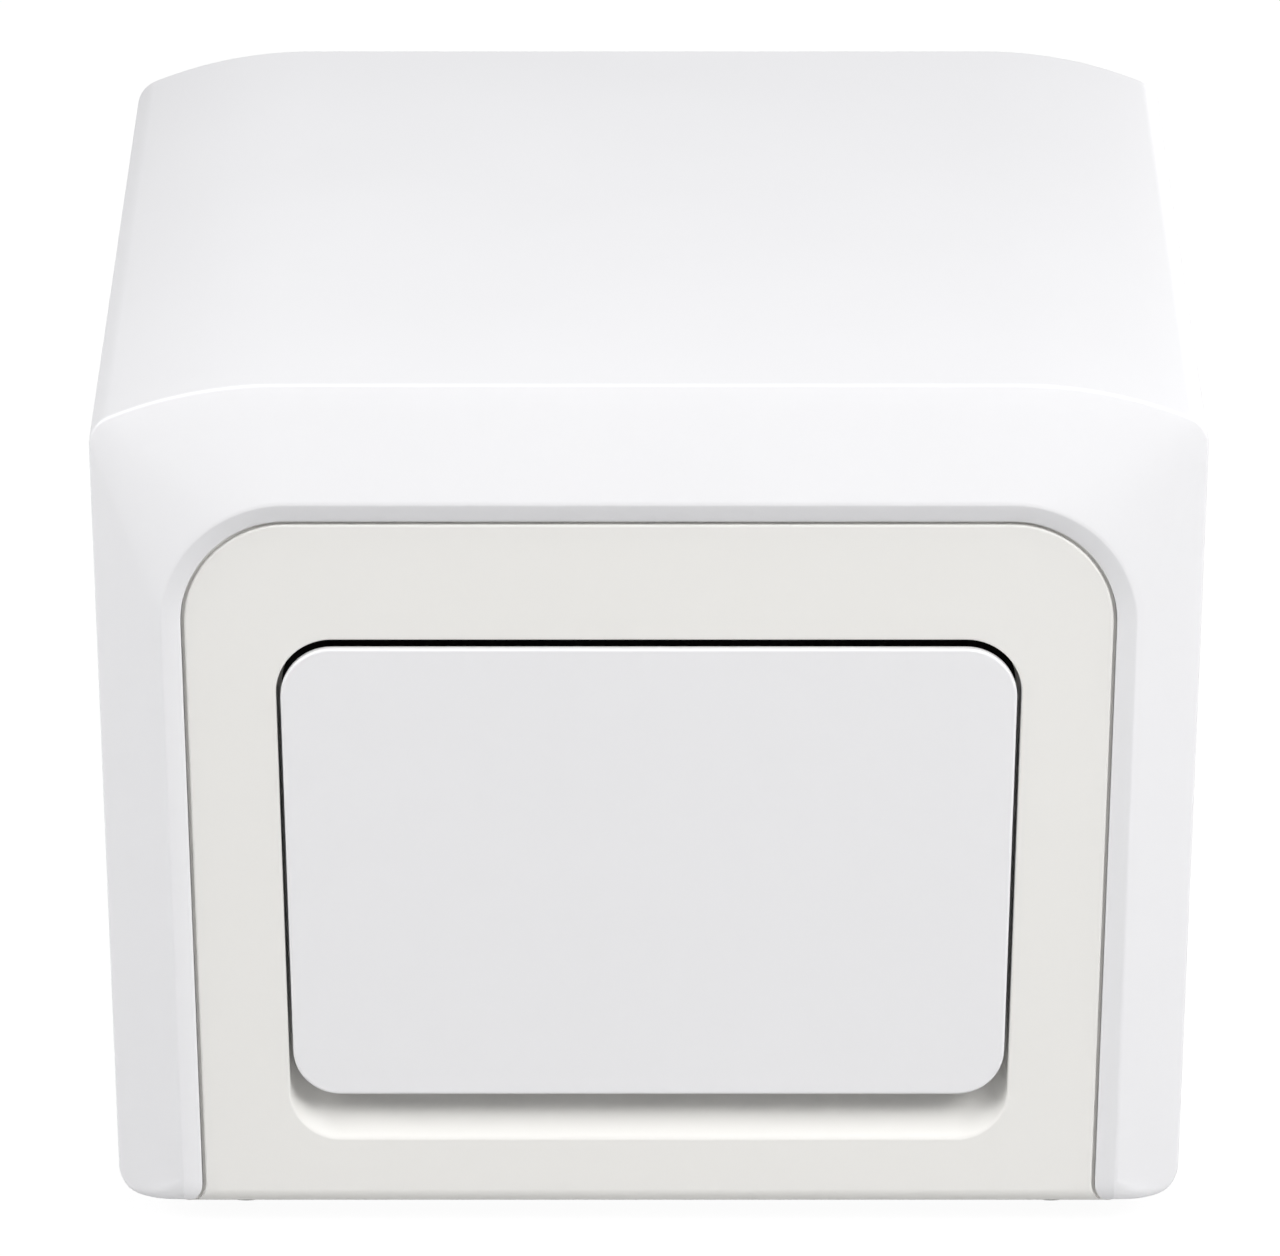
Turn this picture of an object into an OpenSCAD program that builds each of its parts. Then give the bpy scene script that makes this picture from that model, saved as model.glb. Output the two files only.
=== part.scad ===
// Bench real-time PCR machine: an arch-shaped moulded cover over a front panel with a drawer.
// The drawer carries the 96-well sample block, its heat sink and fans; a heated lid presses down
// from above, and an optical head scans the wells through the lid.
// Millimetres, +Z up, front towards -Y, origin under the middle of the housing on the bench.

/* [Housing] */
// Width of the housing across its shoulders
housing_w = 380; // [372:2:420]
// Depth of the housing from its front ridge to its rear edge
housing_d = 420; // [416:2:480]
// Height of the housing without its feet
housing_h = 295; // [290:1:330]
// Wall of the moulded covers
wall = 3; // [2.5:0.5:3.5]
// Lean of the sides, inward towards the bottom, in degrees
side_lean = 1.4; // [0.6:0.1:1.8]
// Run from the side to where the flat top begins
crown_run = 65; // [50:5:80]
// Radius of the crown between the flat top and the shoulder
crown_r = 153; // [130:1:180]
// Radius of the shoulder corner
shoulder_r = 11; // [10:0.5:13]
// Radius of the bottom outer corners
leg_r = 11; // [8:0.5:13]
// Height of the feet below the housing
foot_h = 8; // [6:1:14]
// Radius of a foot where it meets the bench
foot_r = 11; // [8:0.5:12]
// Distance of a foot from the rear edge and from the front edge
foot_edge = 38; // [30:1:60]

/* [Front band] */
// Depth of the leaning band, from the crease to the front ridge
band_d = 13.6; // [10:0.2:16]
// Height of the band across the top
band_top = 39.3; // [34:0.1:44]
// Width of the band down the sides
band_side = 22.7; // [18:0.1:25]
// Radius of the ridge at its upper corners
ridge_r = 42.5; // [36:0.5:52]
// Width of the chamfer inside the ridge
chamfer_w = 6.5; // [5:0.1:8]
// Depth of the chamfer inside the ridge
chamfer_d = 3.8; // [3:0.1:5]
// Radius that rolls the front bottom edge under
roll_r = 10; // [8:0.5:11]
// Radius of the inner corner at the foot of each side
tip_r = 8; // [5:0.5:9]

/* [Front panel] */
// Gap between the cover and the front panel
seam = 1.2; // [0.8:0.1:1.6]
// Depth of the panel's returned edge, and of the cover's lip around it
return_d = 12; // [11:0.5:14]
// Depth of the recess that holds the drawer front
recess_d = 14; // [13:0.5:16]
// Height of the finger scoop below the drawer front
scoop_h = 16.6; // [12:0.2:20]
// Width of the opening that the drawer passes through
aperture_w = 226; // [224:1:230]
// Height of the opening that the drawer passes through
aperture_h = 133; // [126:1:138]
// Corner radius of that opening
aperture_r = 6; // [4:0.5:8]

/* [Drawer front] */
// Width of the drawer front at its middle height
plate_w = 248; // [246:0.5:254]
// Height of the drawer front
plate_h = 162.5; // [156:0.5:168]
// Distance from the top of the housing to the drawer front
plate_drop = 91.2; // [86:0.2:96]
// Thickness of the drawer front
plate_t = 12; // [10:0.5:13]
// Upper corner radius of the drawer front
plate_r_top = 17.5; // [14:0.5:20]
// Lower corner radius of the drawer front
plate_r_bottom = 16.2; // [13:0.1:19]
// How far the drawer front stands proud of the panel
plate_proud = 0.8; // [0:0.1:1.5]
// Gap beside and below the drawer front
side_gap = 1.5; // [1:0.1:2]
// Gap above the drawer front
top_gap = 3; // [2:0.1:4]
// Bevel along the edge of the drawer front
edge_c = 1; // [0.6:0.1:1.6]

/* [Drawer] */
// Width of the tray
tray_w = 206; // [204:1:210]
// Height of the tray's sides
tray_h = 46; // [42:1:50]
// Sheet of the tray and the chassis
sheet = 2; // [1.5:0.5:2]
// Width of the slide between tray and chassis
slide_w = 12.7; // [12.5:0.1:14]
// Height of the slide
slide_h = 36; // [32:1:40]
// Metal of the slide members
slide_t = 1.5; // [1.2:0.1:1.6]
// Room for the balls between the slide members
ball_gap = 4; // [3.6:0.1:4.4]
// Travel of the drawer
travel = 200; // [180:5:205]

/* [Sample block] */
// Columns of wells
cols = 12; // [8:1:12]
// Rows of wells
rows = 8; // [4:1:8]
// Pitch of the wells
pitch = 9; // [9:0.1:9.2]
// Mouth diameter of a well
well_d = 6; // [5:0.1:6.4]
// Depth of a well
well_h = 15; // [12:0.5:17]
// Rim of the block around the outer wells
block_rim = 10; // [8:0.5:11]
// Height of the block
block_h = 26; // [22:1:28]
// Thickness of the thermoelectric modules
tec_t = 4; // [3:0.5:5]
// Side of a thermoelectric module
tec_w = 38; // [34:1:40]
// Height of the heat sink
sink_h = 60; // [54:1:64]
// Thickness of the heat sink's base
sink_base = 8; // [6:0.5:10]
// Thickness of a fin
fin_t = 1.6; // [1.2:0.1:2]
// Number of fins
fins = 26; // [18:1:30]
// Distance from the panel's face back to the middle of the block
block_back = 146; // [140:1:150]
// Length of the microplate that the block takes
micro_l = 127.8; // [127:0.1:128.5]
// Width of the microplate
micro_w = 85.5; // [85:0.1:86]

/* [Heated lid] */
// Gap between the block and the raised lid
lid_open = 16; // [14:0.5:18]
// Travel of the lid
lid_travel = 11; // [8:0.5:12]
// Thickness of the heated plate
lid_t = 8; // [6:0.5:10]
// Thickness of the lid carrier
carrier_t = 6; // [5:0.5:8]
// Diameter of the lid's lead screws
screw_d = 8; // [6:0.5:8]
// Diameter of the lid's guide pins
pin_d = 6; // [5:0.5:8]

/* [Scanner] */
// Width of the scanning head along its travel
head_w = 40; // [34:1:44]
// Height of the scanning head
head_h = 50; // [46:1:56]
// Diameter of the guide rods
rod_d = 8; // [6:0.5:9]
// Diameter of a lens
lens_d = 7; // [5:0.1:8]
// Pitch radius of the belt pulleys
pulley_r = 8; // [7:0.5:9]

/* [Rear] */
// Side of the exhaust fan
fan_w = 80; // [76:1:84]
// Depth of the exhaust fan
fan_d = 25; // [20:1:28]
// Side of a heat sink fan
small_fan_w = 58; // [52:1:59]
// Depth of a heat sink fan
small_fan_d = 20; // [15:1:25]
// Distance of the rear panel from the rear edge of the cover
rear_inset = 6; // [6:0.5:9]
// Room between the drawer bay and the rear panel for the fan and the wiring
rear_room = 81; // [70:1:90]
// Room between the drawer's rear end and the bulkhead for the catch
catch_room = 18; // [14:0.5:24]
// Width of the vent slots
slot_w = 3.2; // [2.5:0.1:4]

/* [Electronics] */
// Length of the circuit boards
board_l = 190; // [160:1:200]
// Height of the circuit boards
board_h = 118; // [100:1:130]
// Gap between a board and the chassis wall
board_gap = 8; // [6:0.5:10]
// Thickness of the boards
board_t = 1.6; // [1:0.1:2]
// Height of the boards over the pan
board_rise = 22; // [16:1:30]
// Length of the power supply
supply_l = 170; // [150:1:180]
// Half width of the power supply
supply_half = 49; // [40:1:52]
// Height of the power supply
supply_h = 36; // [30:1:42]

/* [Fits] */
// Radial clearance of a running fit
fit = 0.05; // [0.03:0.01:0.08]
// Clearance between pieces that don't touch
gap = 0.3; // [0.3:0.05:0.5]

/* [Hidden] */

$fn = 64;

// Planes of the housing
z0 = foot_h;
top_z = foot_h + housing_h;
front_y = -housing_d / 2;
rear_y = housing_d / 2;
crease_y = front_y + band_d;
face_y = front_y + chamfer_d;
floor_z = z0 + wall;
panel_y = rear_y - rear_inset;
over = 1;
thin = 0.01;

// Circle centres of the arch outline
crown_x = housing_w / 2 - crown_run;
crown_z = top_z - crown_r;
shoulder_x = housing_w / 2 - shoulder_r;
shoulder_z = crown_z + sqrt(pow(crown_r - shoulder_r, 2) - pow(crown_run - shoulder_r, 2));
crown_a = acos((crown_run - shoulder_r) / (crown_r - shoulder_r));
lean_out = [cos(side_lean), -sin(side_lean)];

// Half width of the housing at a height, less an inset square to its side
function side_half(z, inset) =
    shoulder_x + (shoulder_r - inset + (z - shoulder_z) * sin(side_lean)) / cos(side_lean);
function mirrored(points) =
    concat(points, [for (i = [len(points) - 1:-1:0]) [-points[i][0], points[i][1]]]);

// Front opening
open_inset = band_side + chamfer_w;
open_half = side_half(z0, open_inset);
open_top = top_z - band_top - chamfer_w;
open_r = ridge_r - chamfer_w;

// Drawer front
plate_z = top_z - plate_drop - plate_h;
plate_mid = plate_z + plate_h / 2;
plate_half = plate_w / 2 - plate_h / 2 * tan(side_lean);
plate_y = face_y - plate_proud;
plate_back = plate_y + plate_t;
recess_y = face_y + recess_d;
tub_y = recess_y + wall;
aperture_z = plate_mid - aperture_h / 2;

// Tray and slides
tray_z = aperture_z + sheet;
tray_half = tray_w / 2;
tray_y = plate_back;
bulkhead_y = panel_y - rear_room;
tray_end = bulkhead_y - catch_room;
rear_wall_h = 24;
slide_z = tray_z + tray_h / 2;
rail_h = slide_h - 2 * slide_t - 2 * ball_gap;
rail_reach = slide_w * 0.55;
chassis_x = tray_half + slide_w;
chassis_y = tub_y + gap;
channel_y = chassis_y + sheet;
cage_l = tray_end - travel - channel_y - 4;
cage_y = channel_y + travel / 2 + 2;
ball_d = ball_gap - 2 * 0.25;
balls = 6;
pan_z = floor_z;
pan_top = pan_z + sheet;
pan_half = side_half(floor_z, wall) - (leg_r - wall) - gap;
pan_y = face_y + return_d + gap;

// Stack of the sample block, from the tray up
block_y = face_y + block_back;
sink_z = tray_z + sheet;
tec_z = sink_z + sink_h;
block_z = tec_z + tec_t;
block_top = block_z + block_h;
block_x = (cols * pitch + block_rim) / 2;
block_half = (rows * pitch + block_rim) / 2;
sink_x = block_x + 7;
sink_half = block_half + 14;
deck_lip = 3;
cover_t = 2.5;
tec_cols = 3;
tec_rows = 2;

// Lid and optics above the block
lid_z = block_top + lid_open;
carrier_z = lid_z + lid_t;
belt_room = 12;
deck_z = carrier_z + carrier_t + belt_room;
deck_top = deck_z + sheet + over;
window_x = cols * pitch / 2;
window_y = rows * pitch / 2;
screw_x = block_x + 29;
screw_y = block_y + block_half + 9;
carrier_x = screw_x + 9;
carrier_y0 = block_y - block_half - 9;
carrier_y1 = screw_y + 8;
pin_y = block_y - block_half - 1;
motor_w = 28;
motor_h = 30;
rod_z = deck_top + motor_h + 11;
rod_y = 30;
bracket_x = carrier_x + 7;
bracket_t = 8;
head_z = deck_top + 8;
head_y = rows * pitch / 2 + 8;
scan_x = carrier_x - 3;
scan_y = screw_y + motor_w / 2 + 14;
belt_z = deck_top + motor_h + 6;
belt_t = 1.2;
belt_h = 6;
// Gap of the toothed pulley under its belt
belt_gap = 0.1;

// Rear fittings, measured from the middle of the housing
fan_z = plate_mid + 22;
fan_y = panel_y - sheet - fan_d;
inlet_x = -110;
inlet_z = floor_z + 32;
switch_x = inlet_x + 42;
rocker_tilt = 8;
socket_x = 104;
data_x = 74;
tec_gap = 3;
small_y = block_y + sink_half + gap;
small_z = sink_z + small_fan_w / 2;
small_x = small_fan_w / 2 + over;
magnet_z = tray_z + rear_wall_h / 2;
shell_white = [0.93, 0.93, 0.94];
ivory = [0.93, 0.92, 0.9];
plate_white = [0.92, 0.92, 0.925];
steel = [0.72, 0.73, 0.75];
dark = [0.12, 0.12, 0.13];
aluminium = [0.8, 0.81, 0.83];
board_green = [0.1, 0.32, 0.2];

// Placing helpers
module along_y(y0, y1) {
    translate([0, y1, 0]) rotate([90, 0, 0]) linear_extrude(y1 - y0) children();
}

module along_x(x0, x1) {
    translate([x0, 0, 0]) rotate([90, 0, 90]) linear_extrude(x1 - x0) children();
}

module slab(low, high) {
    translate(low) cube(high - low);
}

module both_sides() {
    children();
    mirror([1, 0, 0]) children();
}

module upright(x, y, z, r, h) {
    translate([x, y, z]) cylinder(r = r, h = h);
}

module rounded_rect(w, h, r) {
    square([w - 2 * r, h], center = true);
    square([w, h - 2 * r], center = true);
    for (sx = [-1, 1]) {
        for (sz = [-1, 1]) {
            translate([sx * (w / 2 - r), sz * (h / 2 - r)]) circle(r);
        }
    }
}

// Outline of the housing, inset by a wall, down to a given height
module arch_outline(inset, z_b, r_b) {
    crown = [crown_x, crown_z];
    shoulder = [shoulder_x, shoulder_z];
    corner = [side_half(z_b + r_b, inset + r_b), z_b + r_b];
    crown_dir = [cos(crown_a), sin(crown_a)];
    polygon(mirrored([
        [corner[0], z_b],
        corner + r_b * lean_out,
        shoulder + (shoulder_r - inset) * lean_out,
        crown + (crown_r - inset) * crown_dir,
        [crown_x, top_z - inset]]));
    both_sides() {
        translate(corner) circle(r_b);
        translate(shoulder) circle(shoulder_r - inset);
        intersection() {
            translate(crown) circle(crown_r - inset, $fn = 180);
            polygon([crown, crown + 2 * crown_r * crown_dir, crown + [0, 2 * crown_r]]);
        }
    }
}

// Rounded outline whose sides lean as the housing does
module leaning_outline(half_b, z_b, z_t, r_b, r_t) {
    low = [half_b + r_b * tan(side_lean) - r_b / cos(side_lean), z_b + r_b];
    high = [half_b + (z_t - r_t - z_b) * tan(side_lean) - r_t / cos(side_lean), z_t - r_t];
    polygon(mirrored([
        [low[0], z_b], low + r_b * lean_out, high + r_t * lean_out, [high[0], z_t]]));
    both_sides() {
        translate(low) circle(r_b);
        translate(high) circle(r_t);
    }
}

module ridge_outline(below) {
    leaning_outline(side_half(z0, band_side) - below * tan(side_lean), z0 - below,
        top_z - band_top, tip_r, ridge_r);
}

module open_outline(below, inset) {
    leaning_outline(open_half - inset - below * tan(side_lean), z0 - below,
        open_top - inset, 2, open_r - inset);
}

module plate_outline(grow, up, down) {
    leaning_outline(plate_half + grow - down * tan(side_lean), plate_z - down,
        plate_z + plate_h + up, plate_r_bottom + grow, plate_r_top + grow);
}

// Corner piece that a rolled edge cuts away, or that fills behind it
module roll_corner(y, r, grow) {
    difference() {
        translate([y - grow, z0 - grow]) square(roll_r + grow);
        translate([y + roll_r, z0 + roll_r]) circle(r);
    }
}

// Space behind the leaning band, which runs from the ridge out past the crease
module band_space(back) {
    past = 0.15;
    below = 2 * leg_r;
    end_y = crease_y + back + past * band_d;
    hull() {
        along_y(front_y + back, front_y + back + thin) ridge_outline(below);
        translate([0, 0, past * (band_top - band_side)]) along_y(end_y - over, end_y)
            arch_outline(-past * band_side, z0 - below, leg_r);
    }
    slab([-housing_w, end_y - thin, -below], [housing_w, rear_y + 2 * over, 2 * top_z]);
}

// Arch-shaped outer cover, one moulding with the leaning band around its front
module arch_cover() {
    nose = roll_r + 2;
    color(shell_white) difference() {
        union() {
            difference() {
                intersection() {
                    along_y(front_y - over, rear_y) arch_outline(0, z0, leg_r);
                    band_space(0);
                }
                difference() {
                    intersection() {
                        along_y(front_y, rear_y + over) arch_outline(wall, floor_z, leg_r - wall);
                        band_space(wall + over);
                    }
                    slab([-housing_w, front_y, 0], [housing_w, front_y + nose + over, z0 + nose]);
                }
            }
            along_y(front_y, face_y + return_d) difference() {
                ridge_outline(0);
                open_outline(2 * tip_r, 0);
            }
            rear_ledge();
        }
        along_y(front_y - over, face_y + return_d + over) open_outline(2 * tip_r, 0);
        hull() {
            along_y(front_y - over, front_y) ridge_outline(2 * tip_r);
            along_y(face_y - thin, face_y) open_outline(2 * tip_r, 0);
        }
        slab([-open_half, front_y - over, z0 - over], [open_half, rear_y + over, floor_z + thin]);
        along_x(-housing_w / 2, housing_w / 2) roll_corner(front_y, roll_r, over);
        both_sides() leg_tip();
        rear_screw_places() cylinder(d = 2.5, h = rear_ledge_t + 2);
    }
}

// Ledge that the rear panel is screwed to
rear_ledge_t = 6;
rear_ledge_w = 5;
module rear_ledge() {
    along_y(panel_y - sheet - rear_ledge_t, panel_y - sheet) difference() {
        arch_outline(wall - 0.5, floor_z - 0.5, leg_r - wall + 0.5);
        difference() {
            arch_outline(wall + rear_ledge_w, floor_z - over, 2);
            rear_screw_marks() circle(6);
        }
    }
}

module leg_tip() {
    along_y(front_y - over, face_y + return_d + over) difference() {
        translate([open_half - over, z0 - over]) square(tip_r + over);
        translate([open_half + tip_r, z0 + tip_r]) circle(tip_r);
        translate([open_half - 2 * over, z0 - over]) square([over, tip_r + over]);
    }
}

// Screw places of the rear panel: three down each side
function rear_screw_zs() = [for (k = [0:2]) floor_z + 30 + k * (shoulder_z - floor_z - 60) / 2];
module rear_screw_marks() {
    for (z = rear_screw_zs()) {
        for (s = [-1, 1]) {
            translate([s * side_half(z, wall + 8), z]) children();
        }
    }
}

module rear_screw_places() {
    for (z = rear_screw_zs()) {
        for (s = [-1, 1]) {
            translate([s * side_half(z, wall + 8), panel_y - sheet + thin, z])
                rotate([90, 0, 0]) children();
        }
    }
}

// Finger scoop: it slopes from the panel's face back under the drawer front
module scoop_space(grow, lead) {
    hull() {
        along_y(face_y - lead, face_y + thin)
            plate_outline(side_gap + grow, -plate_h / 2, scoop_h + grow);
        along_y(recess_y + grow - thin, recess_y + grow)
            plate_outline(side_gap + grow, -plate_h / 2, side_gap + grow);
    }
}

// Flare of the panel's foot, which follows the rounded inner corner of the cover's leg
module panel_flare() {
    along_y(face_y, face_y + return_d) difference() {
        translate([open_half - seam - over, z0]) square(tip_r);
        translate([open_half + tip_r, z0 + tip_r]) circle(tip_r + seam);
    }
}

// Front panel: a moulding with returned edges and the recess for the drawer front
module front_panel() {
    color(ivory) difference() {
        union() {
            difference() {
                along_y(face_y, face_y + return_d) open_outline(0, seam);
                along_y(face_y + wall, face_y + return_d + over)
                    open_outline(-wall, seam + wall);
            }
            along_x(-open_half + 2 * seam + wall, open_half - 2 * seam - wall)
                roll_corner(face_y, roll_r - wall, 0);
            both_sides() panel_flare();
            along_y(face_y, tub_y) plate_outline(side_gap + wall, top_gap + wall, side_gap + wall);
            scoop_space(wall, 0);
        }
        along_y(face_y - over, recess_y) plate_outline(side_gap, top_gap, side_gap);
        scoop_space(0, over);
        along_y(recess_y - over, tub_y + over) aperture_outline(0);
        along_x(-open_half - tip_r, open_half + tip_r) roll_corner(face_y, roll_r, over);
    }
}

module aperture_outline(grow) {
    translate([0, plate_mid])
        rounded_rect(aperture_w + 2 * grow, aperture_h + 2 * grow, aperture_r + grow);
}

// Rubber seal that keeps light out around the opening
module light_seal() {
    seal_t = recess_y - plate_back - gap;
    color(dark) along_y(recess_y - seal_t, recess_y) difference() {
        aperture_outline(7);
        aperture_outline(2);
    }
}

// Sheet-metal pan that closes the underside, with turned-up sides and air slots
module base_pan() {
    pan_end = panel_y - sheet - rear_ledge_t - gap;
    lip_h = 14;
    color(steel) difference() {
        union() {
            slab([-pan_half, pan_y, pan_z], [pan_half, pan_end, pan_top]);
            both_sides() slab([pan_half - sheet, pan_y + leg_r, pan_z], [pan_half, pan_end, pan_z + lip_h]);
            slab([-open_half, pan_y, pan_z], [open_half, pan_y + sheet, pan_z + lip_h]);
        }
        for (k = [-8:8]) {
            slab([k * 3 * slot_w - slot_w / 2, -20, pan_z - over],
                [k * 3 * slot_w + slot_w / 2, 50, pan_top + over]);
        }
        foot_places() cylinder(d = 4.2, h = 3 * wall);
    }
}

module foot_places() {
    for (sx = [-1, 1]) {
        for (sy = [-1, 1]) {
            translate([sx * (open_half - foot_r - 3), sy * (housing_d / 2 - foot_edge), z0])
                children();
        }
    }
}

// Rubber feet, turned, each with its fixing stud
module feet() {
    color(dark) foot_places() translate([0, 0, -foot_h]) {
        rotate_extrude() polygon([
            [0, 0], [foot_r - 1, 0], [foot_r, 1], [foot_r, foot_h - 1],
            [foot_r - 1, foot_h + wall], [0, foot_h + wall]]);
        cylinder(d = 4, h = foot_h + wall + sheet + 3);
    }
}

// Sheet-metal rear panel with the cut-outs for fan, inlet, switch, sockets and vents
module rear_panel() {
    color(steel) difference() {
        along_y(panel_y - sheet, panel_y) arch_outline(wall + gap, floor_z + gap, leg_r - wall);
        along_y(panel_y - sheet - over, panel_y + over) {
            translate([0, fan_z]) circle(fan_w / 2 - 3);
            for (sx = [-1, 1]) {
                for (sz = [-1, 1]) {
                    translate([sx * fan_w * 0.45, fan_z + sz * fan_w * 0.45]) circle(2.2);
                }
            }
            translate([inlet_x, inlet_z]) square([inlet_w + 0.6, inlet_h + 0.6], center = true);
            translate([switch_x, inlet_z]) square([switch_w + 0.6, switch_h + 0.6], center = true);
            translate([socket_x, inlet_z]) square([socket_w + 0.6, socket_h + 0.6], center = true);
            translate([data_x, inlet_z]) square([data_w + 0.6, data_w + 0.6], center = true);
            for (s = [-1, 1]) {
                for (k = [0:vent_rows - 1]) {
                    translate([s * vent_x, fan_z - vent_rows * slot_w + k * 2 * slot_w + slot_w])
                        square([vent_l, slot_w], center = true);
                }
            }
            rear_screw_marks() circle(1.8);
        }
    }
}
vent_rows = 12;
vent_x = fan_w / 2 + 46;
vent_l = 56;
inlet_w = 27;
inlet_h = 20;
switch_w = 13;
switch_h = 21;
socket_w = 16;
socket_h = 14;
data_w = 12;

module rear_screws() {
    color(steel) rear_screw_places() translate([0, 0, -sheet - 2 + thin]) {
        cylinder(d = 5.6, h = 2);
        cylinder(d = 2.4, h = sheet + 7);
    }
}

// Chassis wall of one side, with flanges for the pan, the front panel and the deck
module chassis_wall() {
    flange = 16;
    color(steel) difference() {
        union() {
            slab([chassis_x, chassis_y, pan_top], [chassis_x + sheet, bulkhead_y, deck_z]);
            slab([chassis_x, chassis_y, pan_top], [chassis_x + flange, chassis_y + sheet, deck_z]);
            slab([chassis_x, chassis_y, pan_top], [chassis_x + flange, bulkhead_y, pan_top + sheet]);
            slab([chassis_x, chassis_y, deck_z - sheet], [chassis_x + flange, bulkhead_y, deck_z]);
        }
        for (k = [0:2]) {
            hole_y = chassis_y + 60 + k * 90;
            translate([chassis_x - over, hole_y, slide_z + slide_h / 2 + 35])
                rotate([90, 0, 90]) linear_extrude(sheet + 2 * over) rounded_rect(60, 36, 8);
        }
    }
}

module chassis_left() {
    mirror([1, 0, 0]) chassis_wall();
}

module chassis_right() {
    chassis_wall();
}

// Cross wall behind the drawer, with the air passage to the exhaust fan
module rear_bulkhead() {
    reach = chassis_x + sheet;
    color(steel) difference() {
        slab([-reach, bulkhead_y, pan_top], [reach, bulkhead_y + sheet, deck_z]);
        along_y(bulkhead_y - over, bulkhead_y + sheet + over) {
            translate([0, fan_z - 6]) rounded_rect(150, 60, 10);
            translate([0, pan_top + 24]) rounded_rect(120, 20, 4);
        }
    }
}

// Plate over the drawer bay that carries the lid drive and the scanner
module optics_deck() {
    reach = chassis_x + sheet;
    color(aluminium) difference() {
        slab([-reach, carrier_y0 - 12, deck_z], [reach, bulkhead_y + sheet, deck_top]);
        translate([0, block_y, deck_z - over]) linear_extrude(5) rounded_rect(2 * window_x, 2 * window_y, 3);
        both_sides() {
            upright(screw_x, screw_y, deck_z - over, screw_d / 2 + fit, 6);
            upright(screw_x - 2, pin_y, deck_z - over, pin_d / 2, 6);
        }
        upright(-scan_x, scan_y, deck_z - over, 4, 6);
    }
}

// Fixed member of one drawer slide, a channel open towards the tray
module channel() {
    color(steel) {
        slab([chassis_x - slide_t, channel_y, slide_z - slide_h / 2],
            [chassis_x, bulkhead_y, slide_z + slide_h / 2]);
        for (s = [-1, 1]) {
            low = s > 0 ? slide_h / 2 - slide_t : -slide_h / 2;
            slab([tray_half + slide_w * 0.2, channel_y, slide_z + low],
                [chassis_x, bulkhead_y, slide_z + low + slide_t]);
        }
    }
}

module channel_left() {
    mirror([1, 0, 0]) channel();
}

module channel_right() {
    channel();
}

// Moving member of one drawer slide, fixed to the tray
module rail() {
    color(aluminium) {
        slab([tray_half, tray_y + sheet + over, slide_z - rail_h / 2],
            [tray_half + slide_t, tray_end, slide_z + rail_h / 2]);
        for (s = [-1, 1]) {
            low = s > 0 ? rail_h / 2 - slide_t : -rail_h / 2;
            slab([tray_half, tray_y + sheet + over, slide_z + low],
                [tray_half + rail_reach, tray_end, slide_z + low + slide_t]);
        }
    }
}

module rail_left() {
    mirror([1, 0, 0]) rail();
}

module rail_right() {
    rail();
}

// Ball cages of the two slides: a bent strip with two rows of balls
module ball_cages() {
    ball_z = rail_h / 2 + ball_gap / 2;
    ball_x = tray_half + rail_reach * 0.7;
    web_x = tray_half + rail_reach + 0.6;
    strip = 0.8;
    color(steel) both_sides() {
        slab([web_x, cage_y, slide_z - ball_z - strip / 2],
            [web_x + strip, cage_y + cage_l, slide_z + ball_z + strip / 2]);
        for (s = [-1, 1]) {
            slab([ball_x - ball_d / 2 - 0.4, cage_y, slide_z + s * ball_z - strip / 2],
                [web_x + strip, cage_y + cage_l, slide_z + s * ball_z + strip / 2]);
            for (k = [0:balls - 1]) {
                translate([ball_x, cage_y + (k + 0.5) * cage_l / balls, slide_z + s * ball_z])
                    sphere(d = ball_d, $fn = 32);
            }
        }
    }
}

// Magnet on the bulkhead that holds the drawer shut
module catch_magnet() {
    color(dark) slab([-15, tray_end + sheet + gap, magnet_z - 6], [15, bulkhead_y, magnet_z + 6]);
}

// Steel striker on the tray's rear wall
module catch_plate() {
    color(steel) difference() {
        slab([-18, tray_end, magnet_z - 8], [18, tray_end + sheet, magnet_z + 8]);
        for (s = [-1, 1]) {
            translate([s * 14, tray_end + sheet + over, magnet_z]) rotate([90, 0, 0])
                cylinder(d = 3, h = sheet + 2 * over);
        }
    }
}

// Moulded drawer front, hollow behind with a grid of ribs
module drawer_front() {
    rib = 2.5;
    cell_x = (plate_w - 40) / 5;
    cell_z = (plate_h - 28) / 3;
    color(plate_white) difference() {
        union() {
            along_y(plate_y + edge_c, plate_back) plate_outline(0, 0, 0);
            hull() {
                along_y(plate_y + edge_c, plate_y + edge_c + thin) plate_outline(0, 0, 0);
                along_y(plate_y, plate_y + thin) plate_outline(-edge_c, -edge_c, -edge_c);
            }
        }
        for (i = [-2:2]) {
            for (k = [-1:1]) {
                along_y(plate_y + wall, plate_back + over)
                    translate([i * cell_x, plate_mid + k * cell_z])
                        square([cell_x - rib, cell_z - rib], center = true);
            }
        }
    }
}

// Folded tray of the drawer
module drawer_tray() {
    front_h = block_top - tray_z + 14;
    color(steel) difference() {
        union() {
            slab([-tray_half, tray_y, tray_z], [tray_half, tray_end, tray_z + sheet]);
            slab([-tray_half, tray_y, tray_z], [tray_half, tray_y + sheet, tray_z + front_h]);
            slab([-tray_half, tray_end - sheet, tray_z], [tray_half, tray_end, tray_z + rear_wall_h]);
            both_sides()
                slab([tray_half - sheet, tray_y, tray_z], [tray_half, tray_end, tray_z + tray_h]);
        }
        for (k = [-9:9]) {
            slab([k * 3 * slot_w - slot_w / 2, block_y - 40, tray_z - over],
                [k * 3 * slot_w + slot_w / 2, block_y + 30, tray_z + sheet + over]);
        }
        front_screw_places() cylinder(d = 3.4, h = 2 * sheet, center = true);
    }
}

module front_screw_places() {
    for (sx = [-1, 1]) {
        for (z = [tray_z + 12, block_top + 8]) {
            translate([sx * (tray_half - 12), tray_y + sheet, z]) rotate([-90, 0, 0]) children();
        }
    }
}

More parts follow.
